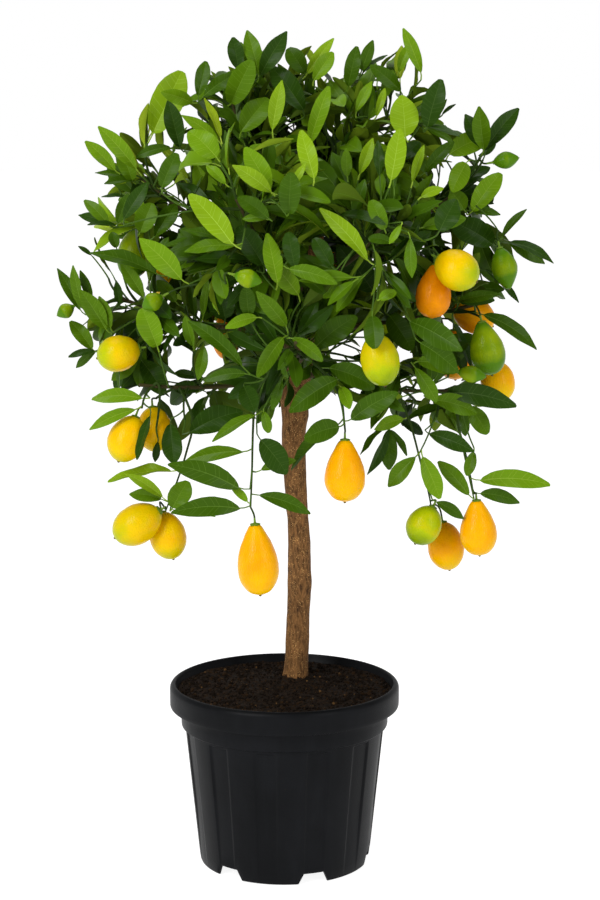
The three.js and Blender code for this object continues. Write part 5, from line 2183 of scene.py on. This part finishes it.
    def _spray_twig(self, carrier: Shoot, place: float, foot: Vector) -> Shoot:
        """Draws the twig that ends at a spray's foot.

        Args:
            carrier: The shoot that it leaves.
            place: Place along it that the twig leaves a little before.
            foot: The spray's foot.

        Returns:
            The twig.
        """
        line = carrier.limb.line
        gap = (foot - line.point(place)).length
        back = max(place - max(gap, 4) * self.spray_slant / carrier.limb.length(), 0.05)
        start = line.point(back)
        way, heading = foot - start, line.heading(back)
        along = max(heading.dot(way.normalized()), 0)
        pull = start.lerp(foot, 0.3) + heading * (way.length * mix(0.08, 0.25, along))
        twig = Limb(Bend(start, pull, foot), *self.twig_radii)
        return Shoot(twig, Habit.HANGING, carrier.mass, False, carrier, back)

    def _spoils(self, twig: Shoot, spray: Spray) -> bool:
        """Looks whether a spray's twig or its carrier crosses a shown leaf, or twigs its leaves.

        Args:
            twig: The twig.
            spray: The spray.

        Returns:
            Whether any does.
        """
        line, used, foot = twig.carrier.limb.line, twig.carrier.used, twig.limb.line.point(1)
        if self.views.crosses(twig.limb.line, 0, 1):
            return True
        if twig.bud > used and self.views.crosses(line, used, twig.bud):
            return True
        return any(self.views.crossed(foot, self.studio.spot(*leaf[:2], foot.y), leaf[2] / 2)
                   for leaf in spray.leaves)

    def _seen_leaf(self, foot: Vector, grain: Vector, tip: Pixel, breadth: float, shade: float,
                   chance: Chance, taken: Crowd) -> Optional[Leaf]:
        """A leaf whose tip and breadth the camera sees where the photograph has them.

        Args:
            foot: Where the leaf sits on its twig.
            grain: Heading of the twig there.
            tip: Pixels across and down to the tip.
            breadth: Breadth of the blade as seen, in pixels.
            shade: Place among LEAF_GREENS.
            chance: Source of the leaf's own bends.
            taken: The midribs of the leaves before it, which takes in this one's.

        Returns:
            The leaf, or None where there is no room for it.
        """
        lean = chance.between(-0.3, 0.1)
        reach = (self.studio.spot(*tip, foot.y) - foot).length
        across, down, _ = self.studio.pixels([foot])[0]
        seen = breadth * reach / math.hypot(tip[0] - across, tip[1] - down) / self.seen_share
        seed = int(chance() * WORD)
        slim = clamp(self.slim_from * reach / breadth, self.slimmest)
        leaves = []
        for tilt in self.tilts:
            target = self.studio.spot(*tip, foot.y + (lean + tilt) * reach)
            size = (target - foot).length / (self.leaf_form.length + self.leaf_form.stalk)
            leaf = Leaf(foot, grain, target - foot, foot, size, shade, Chance(seed), True)
            leaf.slimness *= slim
            self._aim(leaf, target, seen)
            if self._placed_fits(leaf, taken):
                leaves.append(leaf)
                if not self.views.crossed(foot, self.leaf_form.tip(leaf), breadth / 2):
                    leaves = [leaf]
                    break
        if not leaves:
            return None
        taken.take(*self.leaf_form.midrib(leaves[0]), radius=self.placed_room)
        self.views.keep(foot, self.leaf_form.tip(leaves[0]), breadth / 2)
        return leaves[0]

    def _aim(self, leaf: Leaf, target: Vector, seen: float) -> None:
        """Turns and bends a leaf until its tip lies at a target.

        Args:
            leaf: The leaf, whose heading is the whole way to the target.
            target: Where its tip comes to.
            seen: The breadth that the camera sees, in millimetres.
        """
        form, way = self.leaf_form, leaf.heading
        wide = 2 * form.half_width
        true = max(seen / wide, leaf.size * self.seen_least)
        turn = math.acos(min(seen / wide / true, 1))
        leaf.heading, leaf.face = way.normalized(), self._seen_face(leaf.foot, way, turn)
        leaf.breadth, leaf.droop = true, leaf.droop * self.calm[0]
        leaf.twist, leaf.fold = leaf.twist * self.calm[1], min(leaf.fold, self.calm[2])
        level = abs(leaf.heading.x)
        arch = math.copysign(self.arch * level, -leaf.face.cross(leaf.heading).z)
        leaf.sway = mix(leaf.sway, arch, level)
        for _ in range(3):
            way = way + target - form.tip(leaf)
            leaf.heading, leaf.size = way.normalized(), way.length / (form.length + form.stalk)
            leaf.face = self._seen_face(leaf.foot, way, turn)

    def _placed_fits(self, leaf: Leaf, taken: Crowd) -> bool:
        """Looks whether a placed leaf has room among the fruit, the wood and the others.

        Args:
            leaf: The leaf.
            taken: The others' midribs.

        Returns:
            Whether it has.
        """
        midrib = self.leaf_form.midrib(leaf)
        return (not self.room.blocks(self.leaf_form.probes(leaf), self.fruit_gap / 2)
                and self.wood.nearest(*midrib) >= 1
                and taken.nearest(*midrib) >= self.placed_spacing)

    def _seen_face(self, foot: Vector, way: Vector, turn: float) -> Vector:
        """Turns a leaf's face from the viewer, about the way that the leaf runs.

        Args:
            foot: The leaf's foot.
            way: The way that it runs.
            turn: By how much, in radians.

        Returns:
            The one of the two faces that looks more up and out.
        """
        heading = way.normalized()
        view = without(self.studio.eye / MILLIMETRE - foot, heading).normalized()
        side, out = heading.cross(view), (foot - self.heart).normalized()
        faces = [view * math.cos(turn) + side * (math.sin(turn) * sign) for sign in (-1, 1)]
        return max(faces, key=lambda face: face.z + face.dot(out) * 0.6)

    def _leaf_fits(self, leaf: Leaf, shoot: Shoot, taken: Crowd) -> bool:
        """Looks whether a leaf has room and hides nothing.

        Args:
            leaf: The leaf.
            shoot: The shoot that it grows on.
            taken: The midribs before it, which takes in this one's where there is room.

        Returns:
            Whether it does.
        """
        midrib, probes = self.leaf_form.midrib(leaf), self.leaf_form.probes(leaf)
        outside = self.stages[shoot.mass].depth(midrib[-1]) > self.farthest
        fits = not (
            outside and not shoot.leading
            or taken.nearest(*midrib) < self.spacing
            or self.room.blocks(probes, self.fruit_gap) or self.room.hidden(probes)
            or self.views.spoil(probes)
            or self.wood.nearest(*midrib) < self.wood_gap)
        if fits:
            taken.take(*midrib)
        return fits

    def _stalk(self, fruit: Fruit) -> list[Limb]:
        """Leads a twig to a fruit from the nearest shoot or stem.

        Args:
            fruit: The fruit.

        Returns:
            The twig, and the fruit's stalk after it.
        """
        knee = fruit.along(0) - fruit.down * self.stalk_length
        carriers = [(shoot.limb, shoot) for shoot in self.shoots]
        carriers += [(stem, None) for stem in self.stems]
        spots = []
        for limb, shoot in carriers:
            for step in evenly(self.stalk_tries - 1):
                place = mix(*self.stalk_places, step)
                start = limb.line.point(place)
                climb = max(knee.z - start.z, 0) * self.stalk_climb
                spots.append(((start - knee).length + climb, place, shoot, start))
        _, place, shoot, start = min(spots, key=lambda spot: spot[0])
        if shoot:
            shoot.use(place)
        pull = knee - fruit.down * min((knee - start).length * 0.4, 14)
        twig = Limb(Bend(start, pull, knee), self.stalk_radii[0], self.stalk_radii[0])
        bend = knee + fruit.down * (self.stalk_length * 0.5)
        return [twig, Limb(Bend(knee, bend, fruit.along(0.02)), *self.stalk_radii)]


# Pieces of the plant


@dataclass
class Foliage:
    """The leaves of the crown, one piece to each mass."""

    crown: Crown

    def build(self) -> None:
        """Builds the leaves of every mass."""
        finishes = [finish for green in LEAF_GREENS for finish in green.finishes()]
        for mass, leaves in zip(MASSES, self.crown.leaves):
            shape = Shape()
            for leaf in leaves:
                self.crown.leaf_form.add_to(shape, leaf)
            piece = shape.build(f"leaves_{mass.name}", finishes)
            log.info("%s has %d leaves", mass.name, len(leaves))
            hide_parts(f"foliage_{mass.name}")


@dataclass
class Twigs:
    """The twigs of the crown with the fruit's stalks, calyces and blossom scars."""

    crown: Crown
    calyx_radius: float = 4.2
    calyx_height: float = 1.6
    lobes: int = 5
    sides: int = 20
    scar_radius: float = 1.6
    usual_width: float = 34  # of a fruit that has a calyx of that size

    def build(self) -> None:
        """Builds the twigs as one piece."""
        shape = Shape()
        for stem in self.crown.stems:
            stem.add_to(shape, 8, 10, TwigFinish.OLD.slot)
        for shoot in self.crown.shoots:
            finish = TwigFinish.YOUNG if shoot.carrier else TwigFinish.GREEN
            if shoot.used:
                shoot.limb.add_to(shape, 6, 5 if shoot.carrier else 12, finish.slot, shoot.used)
        for number, stalk in enumerate(self.crown.stalks):
            finish = TwigFinish.STALK if number % 2 else TwigFinish.GREEN
            stalk.add_to(shape, 7, 6, finish.slot)
        for fruit in self.crown.fruits:
            self._add_calyx(shape, fruit)
            self._add_scar(shape, fruit)
        piece = shape.build("twigs", TwigFinish.finishes())

    def _rings(self, fruit: Fruit, foot: Vector, profile: Sequence, lobes: float) -> list:
        """Turns a profile round a fruit's axis.

        Args:
            fruit: The fruit.
            foot: Where the profile starts.
            profile: Pairs of height and radius.
            lobes: How far the lobes stand out, as a share of the radius.

        Returns:
            The rings of points.
        """
        waves = [math.cos(2 * math.pi * step / self.sides * self.lobes)
                 for step in range(self.sides)]
        return [[foot + fruit.down * height + out * (radius * (1 + lobes * wave))
                 for out, wave in zip(fruit.fan(self.sides), waves)]
                for height, radius in profile]

    def _add_calyx(self, shape: Shape, fruit: Fruit) -> None:
        """Adds the small lobed disc between a stalk and its fruit.

        Args:
            shape: The shape.
            fruit: The fruit.
        """
        size = fruit.width / self.usual_width
        radius, height = self.calyx_radius * size, self.calyx_height * size
        foot = fruit.along(0) - fruit.down * (height * 0.55)
        profile = ((-height * 0.3, radius * 0.35), (0, radius * 0.8), (height * 0.5, radius),
                   (height, radius * 0.85))
        rings = self._rings(fruit, foot, profile, 0.14)
        ends = (foot - fruit.down * (height * 0.5), foot + fruit.down * height)
        shape.grid(rings, TwigFinish.STALK.slot, ends=ends)

    def _add_scar(self, shape: Shape, fruit: Fruit) -> None:
        """Adds the dry nub at a fruit's blossom end.

        Args:
            shape: The shape.
            fruit: The fruit.
        """
        radius = self.scar_radius * fruit.width / self.usual_width
        foot = fruit.along(1) - fruit.down * radius
        profile = ((0, radius), (radius * 1.1, radius * 0.75), (radius * 1.5, radius * 0.3))
        rings = self._rings(fruit, foot, profile, 0.05)
        ends = (foot - fruit.down * radius, foot + fruit.down * (radius * 1.55))
        shape.grid(rings, TwigFinish.SCAR.slot, ends=ends)


@dataclass
class FruitCrop:
    """All the fruit, as one piece whose points carry their ripeness, with painted shade mixed in at
    each fruit's lower end.
    """

    crown: Crown
    sides: int = 38
    rows: int = 32
    lumps: float = 0.5  # height of the rind's slow swells
    dimples: float = 0.34

    def build(self) -> None:
        """Builds the fruit."""
        shape = Shape()
        cells = atlas(len(self.crown.fruits))
        for number, (fruit, cell) in enumerate(zip(self.crown.fruits, cells)):
            self._add_fruit(shape, fruit, cell, number)
        piece = shape.build("fruit", [FruitSkin()])

    def _places(self) -> list[float]:
        """Places of the rings, closer together towards both ends."""
        return [(1 - math.cos(math.pi * (row + 0.5) / self.rows)) / 2 for row in range(self.rows)]

    def _add_fruit(self, shape: Shape, fruit: Fruit, cell: Cell, number: int) -> None:
        """Adds one fruit.

        Args:
            shape: The shape.
            fruit: The fruit.
            cell: Its cell of the bake map.
            number: Its number, which gives it swells and dimples of its own.
        """
        rows = []
        for place in self._places():
            radius = fruit.width / 2 * fruit.form.breadth(place)
            row = []
            for out in fruit.fan(self.sides):
                spot = out * 11 + fruit.down * (place * 30) + Vector((number * 50, 0, 0))
                swell = noise.noise(spot * 0.07) * self.lumps
                swell += noise.noise(spot * 0.42) * self.dimples
                row.append(fruit.along(place) + out * max(radius + swell * fruit.width / 34, 0.2))
            rows.append(row)
        ripeness = [self._ripeness_and_shade(fruit, place) for place in self._places()]
        ends = (fruit.along(0.004), fruit.along(0.998))
        shape.grid(rows, 0, cell, ends, ripeness=ripeness)

    def _ripeness_and_shade(self, fruit: Fruit, place: float) -> float:
        """Ripeness at a place along a fruit: its neck ripens last, and its blossom end, which hangs
        lowest, is greener, partly because it ripens later and partly as painted shade.
        """
        # Partly painted shade: the lower end of each hanging fruit is drawn greener and darker.
        unripe_and_shade = max(place - 0.56, 0) * 0.9 + max(0.16 - place, 0) * 1.1
        return fruit.ripeness - unripe_and_shade * (1.15 - fruit.ripeness)


@dataclass
class Wood:
    """The trunk and the boughs, with the relief of their bark, as one piece."""

    crown: Crown
    trunk_grid: tuple[int, int] = (44, 190)  # points to a ring, and stretches from ring to ring
    bough_grid: tuple[int, int] = (14, 22)

    def build(self) -> None:
        """Builds the wood."""
        shape = Shape()
        young = Bark("young_bark", linear(34, 30, 14), linear(76, 66, 34), linear(116, 102, 60))
        self.crown.trunk.add_to(shape, *self.trunk_grid, 0, cell=(0.01, 0.01, 0.6, 0.99))
        cells = atlas(len(self.crown.boughs), (0.62, 0.01, 0.99, 0.99), 0.04)
        for bough, cell in zip(self.crown.boughs, cells):
            bough.add_to(shape, *self.bough_grid, 1, cell=cell)
        piece = shape.build("wood", [Bark(), young], 80)
        nodes = [f"bough_{mass.name}" for mass in MASSES if f"bough_{mass.name}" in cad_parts]
        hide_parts("trunk", *nodes)


# Pot and soil


@dataclass
class NurseryPot:
    """The turned pot with its rolled rim, flutes and drain notches."""

    height: float = 175
    foot_radius: float = 81.8
    body_radius: float = 95.7
    body_top: float = 134.5
    wall: float = 3.2
    shoulder_radius: float = 99.2
    rim_radius: float = 110
    rim_foot: float = 153
    rim_lip: float = 104.5
    lip_draft: float = 1.5
    soil_edge: float = 167.5
    floor_height: float = 10.5
    floor_thickness: float = 2.5
    pad_radius: float = 30
    pad_slope: float = 8
    foot_round: float = 2.2  # inset of the foot's rounded edge

    flutes: int = 12
    first_flute: float = -10.5
    flute_floor: float = 5.4  # degrees from a flute's middle to the edge of its floor
    flute_mouth: float = 7.2
    flute_depth: float = 1.5
    flute_fade: tuple[float, float] = (12, 62)  # heights between which a flute sinks in
    flute_top: float = 131.5

    notches: int = 6
    first_notch: float = 20.2
    notch_mouth: float = 30
    notch_crown: float = 20
    notch_height: float = 10

    step: float = 2.5  # degrees between two columns

    def bearings(self) -> list[float]:
        """Places the columns, with one on each edge of the flutes and notches.

        Returns:
            Their bearings in degrees.
        """
        found = {round(number * self.step, 3) for number in range(round(360 / self.step))}
        floor, mouth = self.flute_floor, self.flute_mouth
        flute = (floor, floor + 0.5, mouth - 0.5, mouth)
        notch = [math.degrees(math.asin(breadth / 2 / self.foot_radius))
                 for breadth in (self.notch_mouth, self.notch_crown)]
        for first, count, edges in ((self.first_flute, self.flutes, flute),
                                    (self.first_notch, self.notches, notch)):
            middles = [first + number * 360 / count for number in range(count)]
            found |= {round((middle + side * edge) % 360, 3)
                      for middle in middles for edge in edges for side in (-1, 1)}
        return sorted(found)

    def off(self, bearing: float, first: float, count: int) -> float:
        """Degrees from a bearing to the nearest of a count of middles, evenly spread from a first."""
        pitch = 360 / count
        return abs((bearing - first + pitch / 2) % pitch - pitch / 2)

    def foot_height(self, bearing: float) -> float:
        """Lifts the wall's lower edge where a drain notch is.

        Args:
            bearing: The bearing in degrees.

        Returns:
            The edge's height.
        """
        off = self.off(bearing, self.first_notch, self.notches)
        away = self.foot_radius * math.sin(math.radians(off))
        crown, mouth = self.notch_crown / 2, self.notch_mouth / 2
        return self.notch_height * clamp((mouth - away) / (mouth - crown))

    def flute(self, bearing: float) -> float:
        """How deep the flutes are.

        Args:
            bearing: The bearing in degrees.

        Returns:
            From 0 on a ridge to 1 in a floor.
        """
        off = self.off(bearing, self.first_flute, self.flutes)
        share = clamp((self.flute_mouth - off) / (self.flute_mouth - self.flute_floor))
        return share * share * (3 - 2 * share)

    def body_at(self, height: float) -> float:
        """Radius of the plain body at a height."""
        return mix(self.foot_radius, self.body_radius, height / self.body_top)

    def outer(self, bearing: float) -> list[tuple[float, float]]:
        """The profile up the outside, from the foot to the lip.

        Args:
            bearing: The bearing in degrees.

        Returns:
            Radii and heights.
        """
        foot = self.foot_height(bearing)
        sunk = self.flute(bearing) * self.flute_depth
        rows = [(self.body_at(foot) - self.foot_round, foot),
                (self.body_at(foot) - self.foot_round * 0.3, foot + self.foot_round * 0.3),
                (self.body_at(foot), foot + self.foot_round)]
        low, high = self.flute_fade
        for height in (low, 24, 36, 48, high, 78, 94, 110, 124, self.flute_top - 1.5):
            height = max(height, foot + self.foot_round * 1.5)
            depth = 0.35 + 0.65 * clamp((height - low) / (high - low))
            rows.append((self.body_at(height) - sunk * depth, height))
        rows += [(self.body_at(self.flute_top), self.flute_top), (self.body_radius, 133.2)]
        shoulder, rim, top = self.shoulder_radius, self.rim_radius, self.height
        rows += [(shoulder - 1.2, 134.2), (shoulder - 0.3, 134.9), (shoulder, 136.2),
                 (shoulder + 0.1, 144), (shoulder + 0.1, 151.5), (shoulder + 0.6, 152.6),
                 (shoulder + 1.8, 153), (rim - 1.6, 153), (rim - 0.5, 153.4), (rim - 0.1, 154.4),
                 (rim, 157), (rim, 162), (rim, 167)]
        for step in range(1, 9):
            turn = math.radians(90 * step / 8)
            rows.append((rim - 4.4 * (1 - math.cos(turn)), 170 + (top - 170) * math.sin(turn)))
        rows += [(self.rim_lip + 0.7, top - 0.1), (self.rim_lip + 0.2, top - 0.7),
                 (self.rim_lip, top - 1.8)]
        return rows

    def inner(self) -> list[tuple[float, float]]:
        """The profile down the inside, from the soil's edge to the floor.

        Returns:
            Radii and heights.
        """
        shelf = self.floor_height + self.floor_thickness
        return [(self.rim_lip - self.lip_draft, self.soil_edge),
                (self.shoulder_radius - self.wall, self.rim_foot),
                (self.body_at(130) - self.wall, 130),
                (self.body_at(shelf) - self.wall, shelf),
                (self.pad_radius + self.pad_slope, shelf),
                (self.pad_radius, self.floor_thickness)]

    def underside(self, bearing: float) -> list[tuple[float, float]]:
        """The profile along the underside, from the pad to the foot.

        Args:
            bearing: The bearing in degrees.

        Returns:
            Radii and heights.
        """
        foot = self.foot_height(bearing)
        return [(self.pad_radius, 0), (self.pad_radius + self.pad_slope, self.floor_height),
                (self.body_at(self.floor_height) - self.wall, self.floor_height),
                (self.body_at(foot) - self.wall, foot)]

    def build(self) -> None:
        """Builds the pot as one closed shell."""
        bearings = self.bearings()
        columns = []
        for bearing in bearings:
            out, inside = at_bearing(bearing), self.inner()
            columns.append([(out.x * radius, out.y * radius, height) for radius, height
                            in (*self.underside(bearing), *self.outer(bearing), *inside)])
        rows, shape = list(zip(*columns)), Shape()
        ends = ((0, 0, 0), (0, 0, self.floor_thickness))
        shape.grid(rows, 0, (0.01, 0.01, 0.99, 0.99), ends)
        piece = shape.build("nursery_pot", [PotPlastic()], 34)
        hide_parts("pot")


@dataclass
class PottingSoil:
    """The bed of soil, and the loose crumbs that lie on it."""

    radius: float = 102.6
    edge: float = 167.5
    middle: float = 169
    mound: float = 4.5  # height of the low mound round the trunk
    mound_radius: float = 52
    foot: tuple[float, float] = (10.4, 33.5)  # where the trunk comes up
    depth: float = 154.2
    sides: int = 132
    rings: int = 66
    crumbs: int = 2600
    crumb_size: tuple[float, float] = (0.5, 1.35)
    crumb_seed: int = 41

    def height_at(self, x: float, y: float) -> float:
        """Height of the soil's surface.

        Args:
            x: Millimetres to the right of the middle.
            y: Millimetres behind it.

        Returns:
            The height there.
        """
        out = math.hypot(x, y)
        base = mix(self.middle, self.edge, min(out / self.radius, 1))
        away = math.hypot(x - self.foot[0], y - self.foot[1]) / self.mound_radius
        rise = self.mound * (1 + math.cos(math.pi * min(away, 1))) / 2
        lumps = 0.0
        for fine, layer, height in ((0.06, 3, 1.4), (0.25, 7, 1.1), (0.8, 1, 0.6)):
            lumps += noise.noise(Vector((x * fine, y * fine, layer))) * height
        return base + rise + lumps

    def build(self) -> None:
        """Builds the bed and the crumbs."""
        self._build_bed()
        self._build_crumbs()

    def _build_bed(self) -> None:
        """Builds the bed as a closed body."""
        floor = self.edge - self.depth
        lower = ((60, floor), (79.4, floor), (91.9, 130), (95.6, 152.8), (self.radius, 167))
        upper = [(self.radius * (1 - ring / self.rings), None) for ring in range(self.rings)]
        rows = []
        for radius, height in (*lower, *upper):
            row = [(radius * math.cos(turn), radius * math.sin(turn)) for turn in self._turns()]
            rows.append([(x, y, height or self.height_at(x, y)) for x, y in row])
        shape = Shape()
        ends = ((0, 0, floor), (0, 0, self.height_at(0, 0)))
        shape.grid(rows, 0, (0.01, 0.01, 0.99, 0.99), ends)
        piece = shape.build("soil_bed", [SoilBed()], 80)
        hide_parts("soil")

    def _turns(self) -> list[float]:
        """Angles of the bed's columns."""
        return [2 * math.pi * side / self.sides for side in range(self.sides)]

    def _build_crumbs(self) -> None:
        """Builds small lumps and fibres, each an uneven stone of eight sides."""
        chance, shape = Chance(self.crumb_seed), Shape()
        for _ in range(self.crumbs):
            out = math.sqrt(chance()) * (self.radius - 3)
            turn = chance.between(0, 2 * math.pi)
            x, y = out * math.cos(turn), out * math.sin(turn)
            size = chance.between(*self.crumb_size) * (1 + 1.2 * chance() ** 6)
            slim = 0.3 if chance() < 0.14 else 1.0
            spin = Quaternion((chance.about(1), chance.about(1), chance.about(1),
                               chance.about(1) + 0.01)).normalized()
            at = Vector((x, y, self.height_at(x, y) + size * 0.25))
            rings = []
            for level, breadth in ((-0.55, 0.75), (0.1, 1.0), (0.62, 0.66)):
                ring = []
                for step in range(6):
                    angle = math.pi * step / 3 + level
                    reach = size * breadth * slim * chance.between(0.75, 1.2)
                    spot = Vector((reach * math.cos(angle), reach * math.sin(angle),
                                   size * level / max(slim, 0.5)))
                    ring.append(at + spin @ spot)
                rings.append(ring)
            ends = [at + spin @ Vector((0, 0, size * height / max(slim, 0.5)))
                    for height in (-0.8, 0.85)]
            pick = chance()
            slot = 0 if pick < 0.74 else 1 if pick < 0.98 else 2
            shape.grid(rings, slot, ends=ends)
        tones = [Plain("crumb_dark", linear(20, 13, 7), 0.95, 0.1),
                 Plain("crumb_brown", linear(40, 27, 14), 0.92, 0.1),
                 Plain("crumb_tan", linear(88, 64, 36), 0.9, 0.1)]
        piece = shape.build("soil_crumbs", tones, 40)


# Studio


@dataclass
class Studio:
    """Pale floor, soft lights and the camera that looks on the plant as photographed."""

    eye: Vector = field(default_factory=lambda: Vector((0.0149, -2.0, 0.727)))
    pitch: float = 9.28  # degrees below level
    lens: float = 85.84
    sensor: float = 36
    frame_size: tuple[int, int] = (600, 900)
    floor_size: float = 40
    floor_glow: float = 0.9
    horizon: float = 1.0  # strength of the surround behind the plant
    around: float = 0.3  # the same overhead and on the viewer's side
    key: float = 44
    fill: float = 14
    top: float = 20

    def __post_init__(self) -> None:
        """Works out the way that the camera looks, its upright, and its reach in pixels."""
        pitch = math.radians(self.pitch)
        self.ahead = Vector((0, math.cos(pitch), -math.sin(pitch)))
        self.upright = Vector((0, math.sin(pitch), math.cos(pitch)))
        self.scale = self.lens / self.sensor * self.frame_size[1]

    def spot(self, across: float, down: float, depth: float) -> Vector:
        """Looks through a pixel.

        Args:
            across: Pixels from the left edge.
            down: Pixels from the upper edge.
            depth: How far behind the pot's middle, in millimetres.

        Returns:
            The point in millimetres that shows there.
        """
        ray = self.ahead + self.upright * ((self.frame_size[1] / 2 - down) / self.scale)
        ray.x += (across - self.frame_size[0] / 2) / self.scale
        eye = self.eye / MILLIMETRE
        return eye + ray * ((depth - eye.y) / ray.y)

    def pixels(self, points: Sequence[Vector]) -> np.ndarray:
        """Finds where the camera sees points.

        Args:
            points: The points, in millimetres.

        Returns:
            Pixels across and down to each, and its distance ahead.
        """
        offsets = np.array([tuple(point) for point in points]) - np.array(self.eye) / MILLIMETRE
        away = offsets @ np.array(self.ahead)
        rise = offsets @ np.array(self.upright)
        return np.stack((self.frame_size[0] / 2 + offsets[:, 0] * self.scale / away,
                         self.frame_size[1] / 2 - rise * self.scale / away, away), axis=1)

    def build(self) -> None:
        """Sets up the studio."""
        self._build_floor()
        self._build_world()
        self._add_light("key", (-1.25, -1.7, 1.55), (0.9, 1.6), self.key)
        self._add_light("fill", (1.5, -1.5, 1.2), (0.7, 1.5), self.fill)
        self._add_light("top", (-0.2, 0.4, 2.3), (1.6, 1.6), self.top)
        self._build_camera()

    def _build_floor(self) -> None:
        """A wide pale floor at the pot's foot."""
        half = self.floor_size / 2
        mesh = bpy.data.meshes.new("floor")
        mesh.from_pydata([(-half, -half, 0), (half, -half, 0), (half, half, 0), (-half, half, 0)],
                         [], [(0, 1, 2, 3)])
        mesh.materials.append(material(Glowing("floor", (0.36, 0.36, 0.36), 0.8, 0, self.floor_glow)))
        floor = place_object("floor", mesh)
        floor.location.z = -0.0005
        floor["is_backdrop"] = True

    def _build_world(self) -> None:
        """A plain pale surround, brightest behind the plant at eye level."""
        world = bpy.data.worlds.new("surround")
        graph = Graph(world, "Background")
        way = graph.out("ShaderNodeTexCoord", {}, {}, "Generated")
        parts = graph.node("ShaderNodeSeparateXYZ", {}, {"Vector": way}).outputs
        ahead, up = Signal(graph, parts["Y"]), Signal(graph, parts["Z"])
        behind = ahead.ramp(-0.2, 0.7) * up.ramp(0.5, 0.1)
        bright = graph.math("MAXIMUM", behind, up.ramp(0.3, 0.12))
        strength = bright * (self.horizon - self.around) + self.around
        graph.set({"Color": (1, 1, 1), "Strength": strength})
        bpy.context.scene.world = world
        bpy.context.scene.view_settings.view_transform = "Standard"

    def _add_light(self, name: str, place: Sequence[float], size: Sequence[float],
                   power: float) -> None:
        """Adds a soft light that faces the crown.

        Args:
            name: Its name.
            place: Where it hangs.
            size: Its breadth and height.
            power: Its power.
        """
        data = bpy.data.lights.new(name, "AREA")
        data.shape = "RECTANGLE"
        data.size, data.size_y = size
        data.energy = power
        light = place_object(name, data)
        light.location = place
        aim = Vector((0, 0, 0.5)) - Vector(place)
        light.rotation_mode = "QUATERNION"
        light.rotation_quaternion = aim.to_track_quat("-Z", "Y")

    def _build_camera(self) -> None:
        """The camera, at the photograph's height, distance and tilt."""
        data = bpy.data.cameras.new("camera")
        data.sensor_fit = "VERTICAL"
        data.sensor_height = self.sensor
        data.lens = self.lens
        camera = place_object("camera", data)
        camera.location = self.eye
        camera.rotation_euler = (math.radians(90 - self.pitch), 0, 0)
        bpy.context.scene.camera = camera


def write_sizes() -> None:
    """Writes the solids' box and the dressed plant's box."""
    boxes = {"solids": SOLID_BOX, "dressed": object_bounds()}
    plain = {name: [list(corner) for corner in box] for name, box in boxes.items()}
    log.info("sizes: %s", plain)


def main() -> None:
    """Builds the plant, its pot and the studio."""
    logging.basicConfig(level=logging.INFO, format="%(name)s: %(message)s")
    Studio().build()
    NurseryPot().build()
    PottingSoil().build()
    crown = Crown()
    log.info("crown: %d shoots, %d leaves", len(crown.shoots), sum(map(len, crown.leaves)))
    Wood(crown).build()
    Twigs(crown).build()
    FruitCrop(crown).build()
    Foliage(crown).build()
    write_sizes()


if __name__ == "__main__":
    main()
